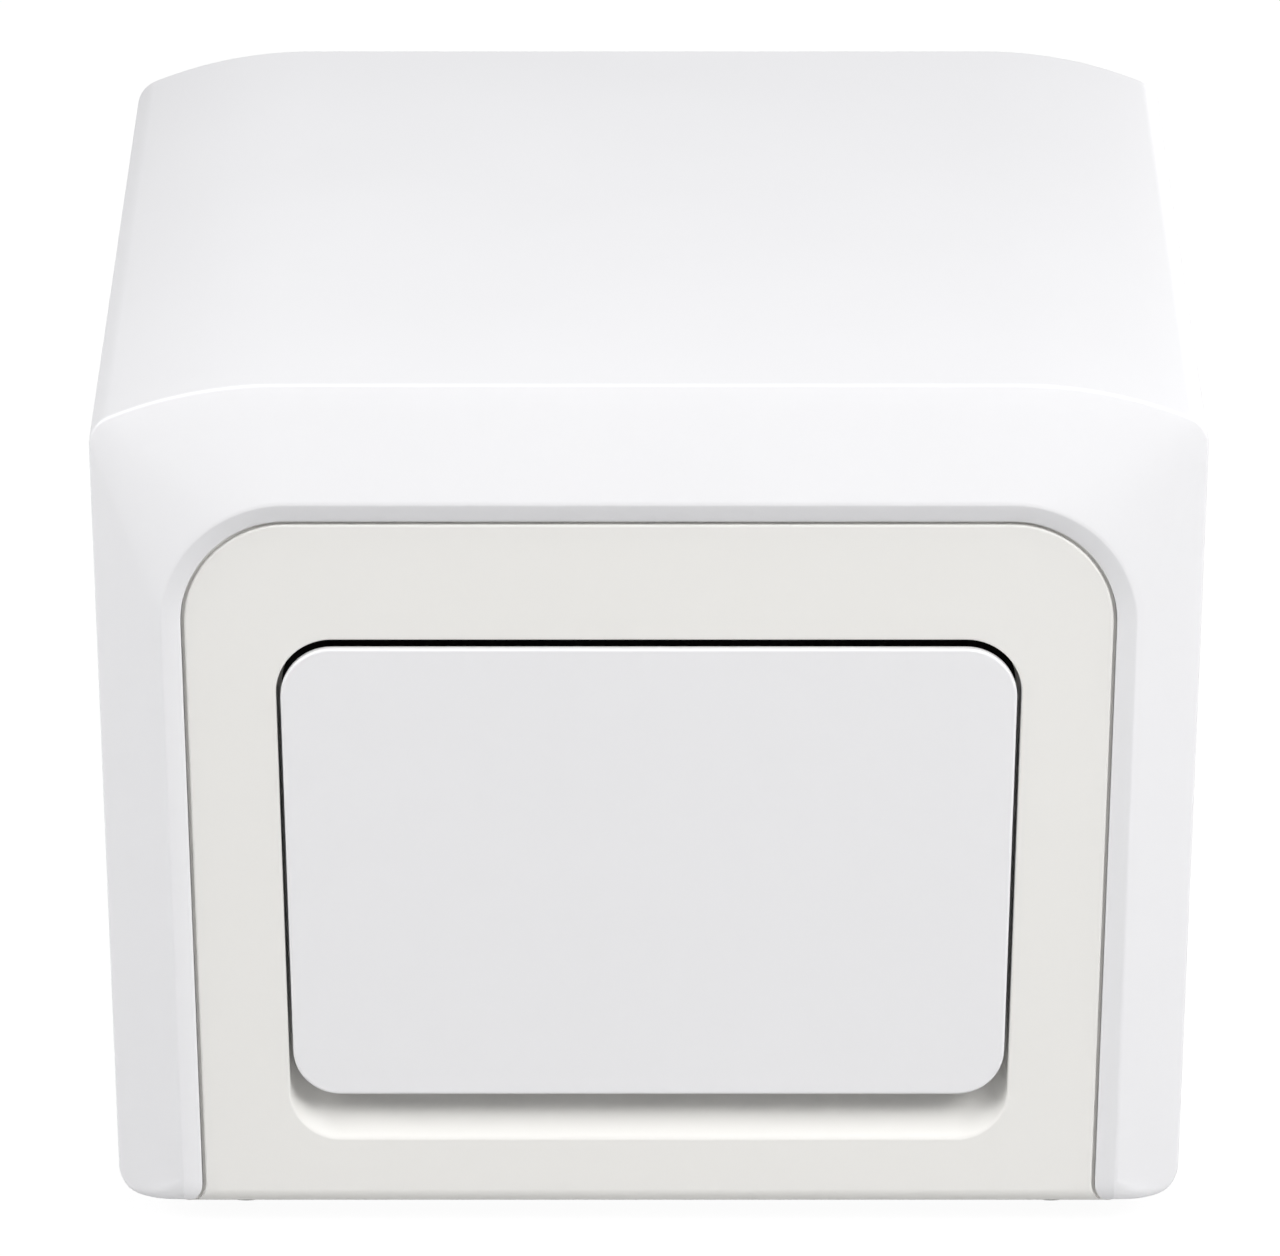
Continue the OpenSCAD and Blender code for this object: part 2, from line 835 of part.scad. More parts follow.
module front_screws() {
    color(dark) front_screw_places() {
        cylinder(d = 5.6, h = 2);
        translate([0, 0, -sheet]) cylinder(d = 3.3, h = sheet + thin);
    }
}

// Finned heat sink under the thermoelectric modules
module heat_sink() {
    fin_pitch = (2 * sink_x - fin_t) / (fins - 1);
    color(aluminium) {
        slab([-sink_x, block_y - sink_half, tec_z - sink_base],
            [sink_x, block_y + sink_half, tec_z]);
        for (k = [0:fins - 1]) {
            slab([-sink_x + k * fin_pitch, block_y - sink_half, sink_z],
                [-sink_x + k * fin_pitch + fin_t, block_y + sink_half, tec_z - sink_base + thin]);
        }
    }
}

module thermoelectric_modules() {
    step_x = min(tec_w + tec_gap, (2 * block_x - tec_w) / (tec_cols - 1));
    color([0.9, 0.9, 0.88]) for (i = [0:tec_cols - 1]) {
        for (k = [0:tec_rows - 1]) {
            x = (i - (tec_cols - 1) / 2) * step_x;
            y = block_y + (k - (tec_rows - 1) / 2) * (tec_w + tec_gap);
            slab([x - tec_w / 2, y - tec_w / 2, tec_z], [x + tec_w / 2, y + tec_w / 2, block_z]);
        }
    }
}

module well_places() {
    for (i = [0:cols - 1]) {
        for (k = [0:rows - 1]) {
            translate([(i - (cols - 1) / 2) * pitch, block_y + (k - (rows - 1) / 2) * pitch, 0])
                children();
        }
    }
}

// Sample block with its conical wells and a wider base flange
module sample_block() {
    tip = 1.3;
    color([0.83, 0.84, 0.86]) difference() {
        union() {
            slab([-block_x, block_y - block_half, block_z], [block_x, block_y + block_half, block_z + 5]);
            translate([0, block_y, block_z]) linear_extrude(block_h)
                rounded_rect(2 * block_x - 8, 2 * block_half - 8, 3);
        }
        well_places() translate([0, 0, block_top - well_h])
            cylinder(r1 = tip, r2 = well_d / 2, h = well_h + thin, $fn = 24);
    }
}

// Moulded deck of the drawer, standing on the tray's sides, with a walled bay around the block
// for the plate's skirt and a notch at each side for the fingers
module drawer_deck() {
    deck_end = small_y + small_fan_d + 4;
    deck_y = tray_y + sheet;
    bay_x = micro_l + 2;
    bay_y = micro_w + 2;
    skirt_h = 16;
    color(dark) difference() {
        union() {
            slab([-tray_half, deck_y, tray_z + tray_h], [tray_half, deck_end, block_top]);
            translate([0, block_y, block_top - over]) linear_extrude(deck_lip + over)
                rounded_rect(bay_x + 2 * cover_t, bay_y + 2 * cover_t, 5);
        }
        difference() {
            slab([-tray_half + cover_t, deck_y + cover_t, tray_z + tray_h - over],
                [tray_half - cover_t, deck_end + over, block_top - cover_t]);
            translate([0, block_y, block_top - skirt_h]) linear_extrude(skirt_h)
                rounded_rect(bay_x + 2 * cover_t, bay_y + 2 * cover_t, 5);
        }
        translate([0, block_y, block_top - skirt_h - over]) linear_extrude(skirt_h + 2 * deck_lip)
            rounded_rect(bay_x, bay_y, 3.5);
        both_sides() upright(bay_x / 2, block_y, block_top + 0.5, 11, 2 * deck_lip);
    }
}

// Axial fan frame of any size, blowing along Y, with its hub on four arms
module fan_frame(size, depth) {
    hub_r = size * 0.2;
    color(dark) difference() {
        union() {
            along_y(0, depth) difference() {
                rounded_rect(size, size, size * 0.06);
                circle(size / 2 - 2);
            }
            along_y(0, 3) {
                circle(hub_r);
                for (a = [0:90:270]) {
                    rotate(a + 20) translate([0, -1.5]) square([size / 2 - over, 3]);
                }
            }
        }
        along_y(-over, depth + over) circle(1.5 + fit);
        for (sx = [-1, 1]) {
            for (sz = [-1, 1]) {
                translate([sx * size * 0.45, -over, sz * size * 0.45]) rotate([-90, 0, 0])
                    cylinder(d = size * 0.05, h = depth + 2 * over);
            }
        }
    }
}

// Rotor with seven tilted blades, its shaft in the frame's hub
module fan_rotor(size, depth) {
    hub_r = size * 0.2;
    tip_gap = 1;
    blade_h = depth - 3 - 3 * gap;
    color([0.16, 0.16, 0.17]) {
        translate([0, 3 + gap, 0]) rotate([-90, 0, 0]) cylinder(r = hub_r, h = blade_h);
        rotate([-90, 0, 0]) cylinder(r = 1.5, h = 4);
        intersection() {
            translate([0, 3 + gap, 0]) rotate([-90, 0, 0]) difference() {
                cylinder(r = size / 2 - 2 - tip_gap, h = blade_h);
                translate([0, 0, -over]) cylinder(r = hub_r - over, h = depth);
            }
            for (k = [0:6]) {
                rotate([0, k * 360 / 7, 0]) translate([0, depth / 2 + 1, 0])
                    rotate([0, 0, 38]) slab([-0.7, -depth, 0], [0.7, depth, size / 2]);
            }
        }
    }
}

module exhaust_fan_frame() {
    translate([0, fan_y, fan_z]) fan_frame(fan_w, fan_d);
}

module exhaust_fan_rotor() {
    translate([0, fan_y, fan_z]) fan_rotor(fan_w, fan_d);
}

module sink_fan_frames() {
    for (s = [-1, 1]) {
        translate([s * small_x, small_y, small_z]) fan_frame(small_fan_w, small_fan_d);
    }
}

module sink_rotor_left() {
    translate([-small_x, small_y, small_z]) fan_rotor(small_fan_w, small_fan_d);
}

module sink_rotor_right() {
    translate([small_x, small_y, small_z]) fan_rotor(small_fan_w, small_fan_d);
}

// Wire finger guard over the exhaust fan
module fan_guard() {
    wire = 1.6;
    rings = 5;
    step = (fan_w / 2 - 4) / rings;
    reach = fan_w * 0.45;
    color(steel) translate([0, panel_y, fan_z]) {
        for (k = [1:rings]) {
            translate([0, wire * 1.5, 0]) rotate([90, 0, 0])
                rotate_extrude() translate([k * step, 0]) circle(d = wire, $fn = 16);
        }
        for (a = [45:90:315]) {
            rotate([0, a, 0]) translate([0, wire * 0.75, 0])
                cylinder(d = wire, h = reach * sqrt(2) - 3);
        }
        for (sx = [-1, 1]) {
            for (sz = [-1, 1]) {
                translate([sx * reach, 0, sz * reach]) rotate([-90, 0, 0]) {
                    cylinder(d = 7, h = wire);
                    translate([0, 0, -sheet - 4]) cylinder(d = 3.4, h = sheet + 4 + thin);
                }
            }
        }
    }
}

// Mains inlet: a flanged body with a deep socket
inlet_depth = 17;
module inlet_housing() {
    flange = 4;
    body_l = 24;
    color(dark) translate([inlet_x, panel_y, inlet_z]) difference() {
        union() {
            along_y(0, 2.5) rounded_rect(inlet_w + 2 * flange, inlet_h + 2 * flange, 3);
            along_y(-body_l, thin) square([inlet_w, inlet_h], center = true);
        }
        along_y(2.5 - inlet_depth, 2.5 + over) polygon(mirrored([
            [inlet_w / 2 - 1.5, -inlet_h / 2 + 1.8], [inlet_w / 2 - 1.5, inlet_h / 2 - 6],
            [inlet_w / 2 - 6, inlet_h / 2 - 1.8]]));
        for (p = inlet_pin_spots()) {
            translate([p[0], 0, p[1]]) slab([-2, -body_l - over, -1], [2, 0, 1]);
        }
    }
}

function inlet_pin_spots() = [[-7, -2], [7, -2], [0, 2]];

module inlet_pins() {
    color([0.78, 0.74, 0.6]) translate([inlet_x, panel_y, inlet_z]) {
        for (p = inlet_pin_spots()) {
            translate([p[0], 0, p[1]]) slab([-2, -28, -1], [2, -0.5, 1]);
        }
    }
}

// Power switch: frame and rocker
module switch_frame() {
    flange = 2;
    inner_w = switch_w - 2;
    inner_h = switch_h - 2.4;
    color(dark) translate([switch_x, panel_y, inlet_z]) difference() {
        union() {
            along_y(0, 2) rounded_rect(switch_w + 2 * flange, switch_h + 2 * flange, 1.5);
            along_y(-14, thin) square([switch_w, switch_h], center = true);
        }
        along_y(-12, 2 + over) square([inner_w, inner_h], center = true);
        translate([0, rocker_pivot, 0]) rotate([0, 90, 0])
            cylinder(r = 1.2 + fit, h = switch_w - 0.8, center = true);
    }
}

rocker_pivot = -3;
module power_rocker() {
    half = switch_h / 2 - 1.2 - 1.2;
    width = switch_w - 2 - 2 * gap;
    color([0.09, 0.09, 0.1]) translate([switch_x, panel_y + rocker_pivot, inlet_z])
        rotate([-rocker_tilt, 0, 0]) {
            along_x(-width / 2, width / 2) polygon([
                [-3.5, -3.5], [4.6, -half], [7.4, -half], [5.6, 0], [7.4, half], [4.6, half],
                [-3.5, 3.5]]);
            rotate([0, 90, 0]) cylinder(r = 1.2, h = switch_w - 1, center = true);
        }
}

module network_socket() {
    color([0.62, 0.63, 0.65]) translate([socket_x, panel_y, inlet_z]) difference() {
        along_y(-16, 1) square([socket_w, socket_h], center = true);
        along_y(-10, 1 + over) polygon(mirrored([
            [5.9, -4.6], [5.9, 2.4], [3.2, 2.4], [3.2, 4], [2, 4], [2, 5.4]]));
    }
}

module data_socket() {
    color([0.62, 0.63, 0.65]) translate([data_x, panel_y, inlet_z]) difference() {
        along_y(-14, 1) square([data_w, data_w], center = true);
        along_y(-9, 1 + over) difference() {
            polygon(mirrored([[4.2, -3.9], [4.2, 2.6], [2.8, 3.9]]));
            translate([0, -0.2]) square([5.6, 3.2], center = true);
        }
    }
}

// Power supply under the drawer bay: a perforated case on the pan
module power_supply() {
    foot_w = 9;
    start = bulkhead_y - supply_l - 20;
    lid_y = supply_l / 10;
    slot_pitch = (supply_l - lid_y) / 8.5;
    slot_l = slot_pitch * 2 / 3;
    color(steel) difference() {
        union() {
            slab([-supply_half, start, pan_top], [supply_half, start + supply_l, pan_top + supply_h]);
            slab([-supply_half - foot_w, start, pan_top],
                [supply_half + foot_w, start + supply_l, pan_top + sheet]);
        }
        for (i = [-6:6]) {
            for (k = [0:7]) {
                translate([i * supply_half / 7, start + lid_y + k * slot_pitch, pan_top + supply_h - 1.2])
                    slab([-2, 0, 0], [2, slot_l, 1.2 + over]);
            }
        }
        slab([-supply_half + 6, start + supply_l - 14, pan_top + supply_h / 3],
            [supply_half - 6, start + supply_l + over, pan_top + supply_h * 7 / 9]);
    }
}

// Circuit board on the outside of a chassis wall. Its parts are [place along, place up, length,
// height] as shares of the board, and how far each stands out
board_x = chassis_x + sheet + board_gap;
board_y = block_y - board_l * 0.19;
board_z = pan_top + board_rise;
module board(parts) {
    slab([board_x, board_y, board_z], [board_x + board_t, board_y + board_l, board_z + board_h]);
    for (p = parts) {
        translate([board_x + board_t - 0.1, board_y + p[0] * board_l, board_z + p[1] * board_h])
            cube([p[4] + 0.1, p[2] * board_l, p[3] * board_h]);
    }
}

// Row of round capacitors near the top of a board
module capacitors(first, step, count, d, h) {
    for (k = [0:count - 1]) {
        translate([board_x + board_t - 0.1, board_y + (first + k * step) * board_l, board_z + 0.87 * board_h])
            rotate([0, 90, 0]) cylinder(d = d, h = h);
    }
}

module main_board() {
    color(board_green) {
        board([[0.1, 0.17, 0.16, 0.25, 3], [0.37, 0.2, 0.21, 0.12, 9], [0.65, 0.17, 0.26, 0.25, 12],
            [0.08, 0.6, 0.32, 0.08, 8], [0.5, 0.55, 0.13, 0.2, 2.5], [0.74, 0.5, 0.19, 0.3, 16]]);
        capacitors(0.47, 0.063, 4, 9, 14);
    }
}

module driver_board() {
    color(board_green) mirror([1, 0, 0]) {
        board([[0.06, 0.1, 0.37, 0.34, 18], [0.5, 0.1, 0.37, 0.34, 18], [0.1, 0.62, 0.21, 0.1, 9],
            [0.4, 0.58, 0.1, 0.17, 2.5], [0.58, 0.62, 0.32, 0.1, 9]]);
        capacitors(0.16, 0.074, 5, 10, 20);
    }
}

module board_standoffs() {
    corner = 6;
    color(steel) both_sides() {
        for (y = [corner, board_l - corner]) {
            for (z = [corner, board_h - corner]) {
                translate([chassis_x + sheet, board_y + y, board_z + z]) rotate([0, 90, 0])
                    cylinder(d = 6, h = board_gap);
            }
        }
    }
}

// Heated plate of the lid, with a window over each well
module heated_plate() {
    color(aluminium) difference() {
        translate([0, block_y, lid_z]) linear_extrude(lid_t)
            rounded_rect(2 * block_x, 2 * block_half, 4);
        well_places() translate([0, 0, lid_z - over]) cylinder(d = well_d, h = lid_t + 2 * over, $fn = 24);
    }
}

// Carrier that holds the heated plate and runs on the screws and pins
module lid_carrier() {
    color([0.3, 0.31, 0.33]) difference() {
        translate([0, (carrier_y0 + carrier_y1) / 2, carrier_z]) linear_extrude(carrier_t)
            rounded_rect(2 * carrier_x, carrier_y1 - carrier_y0, 5);
        translate([0, block_y, carrier_z - over]) linear_extrude(carrier_t + 2 * over)
            rounded_rect(2 * window_x, 2 * window_y, 3);
        both_sides() {
            upright(screw_x, screw_y, carrier_z - over, bush_r, carrier_t + 2 * over);
            upright(screw_x - 2, pin_y, carrier_z - over, bush_r, carrier_t + 2 * over);
        }
    }
}

// Bronze nuts and bushes pressed into the carrier
bush_r = 6;
module lid_bushes() {
    color([0.72, 0.53, 0.28]) both_sides() {
        difference() {
            upright(screw_x, screw_y, carrier_z, bush_r, carrier_t);
            upright(screw_x, screw_y, carrier_z - over, screw_d / 2 + fit, carrier_t + 2 * over);
        }
        difference() {
            upright(screw_x - 2, pin_y, carrier_z, bush_r, carrier_t);
            upright(screw_x - 2, pin_y, carrier_z - over, pin_d / 2 + fit, carrier_t + 2 * over);
        }
    }
}

module lid_guide_pins() {
    bottom = carrier_z - lid_travel - 3;
    color(steel) both_sides() upright(screw_x - 2, pin_y, bottom, pin_d / 2, deck_top - bottom);
}

// Lead screw hung in the deck, with the toothed pulley that couples the pair
module lid_screw() {
    bottom = carrier_z - lid_travel - 3;
    color(steel) {
        upright(screw_x, screw_y, bottom, screw_d / 2, deck_top - gap - bottom);
        upright(screw_x, screw_y, deck_z - belt_h - 3, pulley_r - belt_t / 2 - belt_gap, belt_h + 2.5);
        for (z = [deck_z - belt_h - 3, deck_z - 1.5]) {
            upright(screw_x, screw_y, z, pulley_r + 1.5, 1);
        }
    }
}

module lid_screw_left() {
    mirror([1, 0, 0]) lid_screw();
}

module lid_screw_right() {
    lid_screw();
}

// Closed belt around two pulleys of the same size
module belt_loop(x, y, z) {
    translate([0, y, z]) linear_extrude(belt_h - 1) difference() {
        union() {
            square([2 * x, 2 * pulley_r + belt_t], center = true);
            for (s = [-1, 1]) {
                translate([s * x, 0]) circle(pulley_r + belt_t / 2);
            }
        }
        square([2 * x, 2 * pulley_r - belt_t], center = true);
        for (s = [-1, 1]) {
            translate([s * x, 0]) circle(pulley_r - belt_t / 2);
        }
    }
}

module lid_belt() {
    color(dark) belt_loop(screw_x, screw_y, deck_z - belt_h - 1.6);
}

// Stepper motor standing on the deck
module stepper(x, y) {
    color(dark) translate([x, y, deck_top]) linear_extrude(motor_h)
        rounded_rect(motor_w, motor_w, 3);
    color(steel) for (z = [deck_top, deck_top + motor_h - 4]) {
        translate([x, y, z]) linear_extrude(4) rounded_rect(motor_w, motor_w, 2.4);
    }
}

module lid_motor() {
    stepper(screw_x, screw_y);
}

module scan_motor() {
    stepper(-scan_x, scan_y);
}

// Brackets at the ends of the scanner's guide rods
module rod_brackets() {
    color(aluminium) both_sides() difference() {
        slab([bracket_x, block_y - rod_y - 9, deck_top],
            [bracket_x + bracket_t, block_y + rod_y + 4 + over, rod_z + 9]);
        for (s = [-1, 1]) {
            translate([bracket_x - over, block_y + s * rod_y, rod_z]) rotate([0, 90, 0])
                cylinder(r = rod_d / 2, h = bracket_t + 2 * over);
        }
        translate([bracket_x - over, block_y, deck_top + 20]) rotate([90, 0, 90])
            linear_extrude(bracket_t + 2 * over) rounded_rect(34, 22, 6);
    }
}

module guide_rods() {
    reach = bracket_x + bracket_t;
    color([0.85, 0.86, 0.88]) for (s = [-1, 1]) {
        translate([-reach, block_y + s * rod_y, rod_z]) rotate([0, 90, 0])
            cylinder(r = rod_d / 2, h = 2 * reach);
    }
}

// Optical head: a machined block over the rods with an arm to the belt
scan_bush_r = rod_d / 2 + 2;
module scan_head() {
    clamp_y = scan_y - pulley_r;
    color([0.13, 0.14, 0.16]) difference() {
        union() {
            slab([-head_w / 2, block_y - head_y, head_z], [head_w / 2, block_y + head_y, head_z + head_h]);
            slab([-8, block_y + head_y - over, belt_z], [8, clamp_y - belt_t / 2 - gap, belt_z + belt_h]);
            slab([-head_w / 2 + 5, block_y - head_y + 8, head_z + head_h - over],
                [head_w / 2 - 5, block_y + head_y - 30, head_z + head_h + 8]);
        }
        for (s = [-1, 1]) {
            translate([-head_w / 2 - over, block_y + s * rod_y, rod_z]) rotate([0, 90, 0])
                cylinder(r = scan_bush_r, h = head_w + 2 * over);
        }
        for (k = [0:rows - 1]) {
            upright(0, block_y + (k - (rows - 1) / 2) * pitch, head_z - over, lens_d / 2, 13);
        }
    }
}

module scan_bushes() {
    color([0.72, 0.53, 0.28]) for (s = [-1, 1]) {
        translate([-head_w / 2, block_y + s * rod_y, rod_z]) rotate([0, 90, 0]) difference() {
            cylinder(r = scan_bush_r, h = head_w);
            translate([0, 0, -over]) cylinder(r = rod_d / 2 + fit, h = head_w + 2 * over);
        }
    }
}

// Eight lenses, one for each row of wells, domed towards the block
module scan_lenses() {
    dome_r = lens_d * 0.8;
    color([0.75, 0.85, 0.95]) for (k = [0:rows - 1]) {
        translate([0, block_y + (k - (rows - 1) / 2) * pitch, head_z + 1.5]) {
            cylinder(d = lens_d, h = 3);
            intersection() {
                translate([0, 0, dome_r - 1.2]) sphere(r = dome_r);
                translate([0, 0, -1.2]) cylinder(d = lens_d - 0.4, h = 2);
            }
        }
    }
}

// Toothed pulley with two flanges; its belt's middle line runs at pulley_r
module pulley(x) {
    bottom = belt_z - 1.2;
    color(steel) {
        upright(x, scan_y, bottom, pulley_r + 1.5, 1);
        upright(x, scan_y, bottom, pulley_r - belt_t / 2 - belt_gap, belt_h + 2.4);
        upright(x, scan_y, bottom + belt_h + 1.4, pulley_r + 1.5, 1);
    }
}

// Driven pulley on the motor's shaft
module drive_pulley() {
    shaft_z = deck_top + motor_h + gap;
    pulley(-scan_x);
    color(steel) upright(-scan_x, scan_y, shaft_z, 2.5, belt_z - shaft_z);
}

module idler_pulley() {
    difference() {
        pulley(scan_x);
        upright(scan_x, scan_y, belt_z - 3, 3 + fit, belt_h + 6);
    }
}

module idler_post() {
    color(steel) {
        upright(scan_x, scan_y, deck_top, 3, belt_z + belt_h + 2.5 - deck_top);
        upright(scan_x, scan_y, deck_top, 8, belt_z - 1.2 - gap - deck_top);
        upright(scan_x, scan_y, belt_z + belt_h + 1.2 + gap, 5, 1.5);
    }
}

module scan_belt() {
    color(dark) belt_loop(scan_x, scan_y, belt_z + 0.5);
}

arch_cover();
front_panel();
light_seal();
base_pan();
feet();
rear_panel();
rear_screws();
chassis_left();
chassis_right();
rear_bulkhead();
optics_deck();
channel_left();
channel_right();
catch_magnet();
power_supply();
main_board();
driver_board();
board_standoffs();
exhaust_fan_frame();
exhaust_fan_rotor();
fan_guard();
inlet_housing();
inlet_pins();
switch_frame();
power_rocker();
network_socket();
data_socket();
drawer_front();
drawer_tray();
rail_left();
rail_right();
ball_cages();
front_screws();
heat_sink();
thermoelectric_modules();
sample_block();
drawer_deck();
catch_plate();
sink_fan_frames();
sink_rotor_left();
sink_rotor_right();
heated_plate();
lid_carrier();
lid_bushes();
lid_guide_pins();
lid_screw_left();
lid_screw_right();
lid_belt();
lid_motor();
rod_brackets();
guide_rods();
scan_head();
scan_lenses();
scan_bushes();
scan_motor();
drive_pulley();
idler_pulley();
idler_post();
scan_belt();
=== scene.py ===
import math

import bmesh
import bpy
import numpy as np
from mathutils import Matrix, Vector


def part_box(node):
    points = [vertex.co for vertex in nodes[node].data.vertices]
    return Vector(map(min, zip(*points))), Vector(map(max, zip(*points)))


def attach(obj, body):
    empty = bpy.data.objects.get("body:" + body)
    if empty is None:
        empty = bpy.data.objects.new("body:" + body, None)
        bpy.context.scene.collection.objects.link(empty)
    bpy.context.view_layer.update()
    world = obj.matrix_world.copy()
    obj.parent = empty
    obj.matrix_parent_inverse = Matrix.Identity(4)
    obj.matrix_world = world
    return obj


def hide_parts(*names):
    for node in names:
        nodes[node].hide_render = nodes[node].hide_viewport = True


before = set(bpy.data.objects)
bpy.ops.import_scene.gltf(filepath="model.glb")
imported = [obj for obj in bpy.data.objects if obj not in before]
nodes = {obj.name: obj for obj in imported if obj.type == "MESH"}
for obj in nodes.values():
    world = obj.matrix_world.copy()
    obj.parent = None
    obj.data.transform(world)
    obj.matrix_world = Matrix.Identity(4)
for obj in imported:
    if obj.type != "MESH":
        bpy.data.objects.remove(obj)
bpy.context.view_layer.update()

# Camera: the machine is seen from the front, nineteen degrees above the bench, through a long
# lens from four metres, so that its edges stay almost parallel.
camera_distance = 3.916
look_down = math.radians(19)
aim = Vector((-0.0030, -0.1964, 0.2158))
camera = bpy.data.objects.new("camera", bpy.data.cameras.new("camera"))
camera.data.lens = 323
camera.data.clip_end = 20
camera.location = aim + camera_distance * Vector((0, -math.cos(look_down), math.sin(look_down)))
turn = (aim - camera.location).to_track_quat("-Z", "Y").to_matrix().to_4x4()
camera.matrix_world = Matrix.Translation(camera.location) @ turn
bpy.context.scene.collection.objects.link(camera)
bpy.context.scene.camera = camera
bpy.context.scene.view_settings.view_transform = "Standard"


# Bench and light: a pale bench that runs off into white, under a wide soft box overhead, panels at
# the front right, the front left and both sides, and one behind, as in a product studio.
class Socket:
    """A shader socket: signs between sockets and numbers add Math nodes, make() adds any other."""

    def __init__(self, tree, link=None):
        self.tree = tree
        self.link = link

    def make(self, kind, settings=None, inputs=None, out=0):
        """A new node: its settings are set first, then its inputs get values or links."""
        node = self.tree.nodes.new("ShaderNode" + kind)
        for name, value in (settings or {}).items():
            setattr(node, name, value)
        for name, value in (inputs or {}).items():
            if isinstance(value, Socket):
                self.tree.links.new(value.link, node.inputs[name])
            else:
                node.inputs[name].default_value = value
        return Socket(self.tree, node.outputs[out] if node.outputs else None)

    def maths(self, operation, *values):
        return self.make("Math", {"operation": operation}, dict(enumerate(values)))

    def __add__(self, other):
        return self.maths("ADD", self, other)

    def __radd__(self, other):
        return self.maths("ADD", other, self)

    def __sub__(self, other):
        return self.maths("SUBTRACT", self, other)

    def __rsub__(self, other):
        return self.maths("SUBTRACT", other, self)

    def __mul__(self, other):
        return self.maths("MULTIPLY", self, other)

    def __rmul__(self, other):
        return self.maths("MULTIPLY", other, self)

    def __gt__(self, other):
        return self.maths("GREATER_THAN", self, other)

    def __lt__(self, other):
        return self.maths("LESS_THAN", self, other)

    def colour(self, low, high):
        """Colour that goes from low at 0 to high at 1."""
        ends = [c if isinstance(c, Socket) else (*c, 1) for c in (low, high)]
        inputs = {"Factor": self, 6: ends[0], 7: ends[1]}
        return self.make("Mix", {"data_type": "RGBA"}, inputs, 2)


def new_material(name):
    """An empty material, with the Socket that its nodes start from."""
    material = bpy.data.materials.new(name)
    material.use_nodes = True
    material.node_tree.nodes.clear()
    return material, Socket(material.node_tree)


cloth_grey = (0.54, 0.54, 0.54)
white_glow = 1.13
white_seen = 0.84
white_mirrored = 0.4


def bench_material():
    """Grey cloth to the light, almost white to the eye, with the shadow still on it."""
    material, start = new_material("bench")
    seen = start.make("LightPath", out=0)
    glossy = start.make("LightPath", out=3)
    cloth = start.make("BsdfDiffuse", inputs={"Color": (*cloth_grey, 1)})
    white = start.make("Emission", inputs={"Color": (1, 1, 1, 1), "Strength": white_glow})
    share = seen * white_seen + glossy * white_mirrored
    both = start.make("MixShader", inputs={0: share, 1: cloth, 2: white})
    start.make("OutputMaterial", inputs={"Surface": both})
    return material


bench_half = 6.0
square = ((-1, -1), (1, -1), (1, 1), (-1, 1))
bench_mesh = bpy.data.meshes.new("bench")
bench_corners = [(sx * bench_half, sy * bench_half, 0) for sx, sy in square]
bench_mesh.from_pydata(bench_corners, [], [(0, 1, 2, 3)])
bench = bpy.data.objects.new("bench", bench_mesh)
bench.data.materials.append(bench_material())
bpy.context.scene.collection.objects.link(bench)


lamps_aim = Vector((0, -0.2, 0.15))


def soft_box(name, place, size, power):
    """A rectangular lamp, width by height in metres, aimed at the machine."""
    lamp = bpy.data.objects.new(name, bpy.data.lights.new(name, "AREA"))
    lamp.data.shape = "RECTANGLE"
    lamp.data.size, lamp.data.size_y = size
    lamp.data.energy = power
    lamp.location = place
    lamp.rotation_euler = (lamps_aim - Vector(place)).to_track_quat("-Z", "Y").to_euler()
    bpy.context.scene.collection.objects.link(lamp)


soft_box("lamp_above", (0.35, -0.5, 3.0), (2.4, 1.2), 25.5)
soft_box("lamp_right", (1.75, -1.67, 1.94), (1.2, 1.2), 40.5)
soft_box("lamp_left", (-1.7, -1.73, 1.94), (1.2, 1.2), 15.5)
soft_box("side_right", (2.5, -0.6, 1.5), (1.2, 1.2), 23)
soft_box("side_left", (-2.5, -0.6, 1.5), (1.2, 1.2), 35)
soft_box("lamp_behind", (0.6, 2.4, 0.2), (1.8, 0.3), 14)

room_tint = (0.97, 0.98, 1, 1)
room_glow = 0.19
world = bpy.data.worlds.new("studio")
bpy.context.scene.world = world
world.use_nodes = True
world.node_tree.nodes.clear()
air = Socket(world.node_tree)
seen_directly = air.make("LightPath", out=0)
around = air.make("Background", inputs={"Color": room_tint, "Strength": room_glow})
plain_white = air.make("Background", inputs={"Color": (1, 1, 1, 1), "Strength": 1.0})
sky = air.make("MixShader", inputs={0: seen_directly, 1: around, 2: plain_white})
air.make("OutputWorld", inputs={"Surface": sky})


# Outer cover: one white injection moulding. The arch is wrapped by a band that leans forward from
# a soft crease to a ridge, then turns back in a narrow chamfer to the opening and a hidden lip.
# All its sizes are in millimetres.
crown_run = 65
crown_r = 153
shoulder_r = 11
leg_r = 11
lean = math.radians(1.4)
band_d = 13.6
band_top = 39.3
band_side = 22.7
ridge_r = 42.5
chamfer_w = 6.5
chamfer_d = 3.8
lip_end_d = 26
core_d = 20
tip_r = 8
tip_roll = 9
wall = 3
crease_round = 0.9
ridge_round = 1.3
lip_round = 0.45
roll_blend = 4
rear_edge = ((1, 0), (0.5, 0.13), (0.13, 0.5), (0, 1))

cover_low, cover_high = [1000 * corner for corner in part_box("arch_cover")]
half_w = cover_high.x
top_z = cover_high.z
base_z = cover_low.z
front_y = cover_low.y
rear_y = cover_high.y
face_y = front_y + chamfer_d
core_y = front_y + core_d

crown = np.array([half_w - crown_run, top_z - crown_r])
shoulder_rise = math.sqrt((crown_r - shoulder_r) ** 2 - (crown_run - shoulder_r) ** 2)
shoulder = np.array([half_w - shoulder_r, crown[1] + shoulder_rise])
join = math.acos((crown_run - shoulder_r) / (crown_r - shoulder_r))


def side_x(z, inset):
    """Half width of the machine at a height, less an inset square to its leaning side."""
    return shoulder[0] + (shoulder_r - inset + (z - shoulder[1]) * math.sin(lean)) / math.cos(lean)


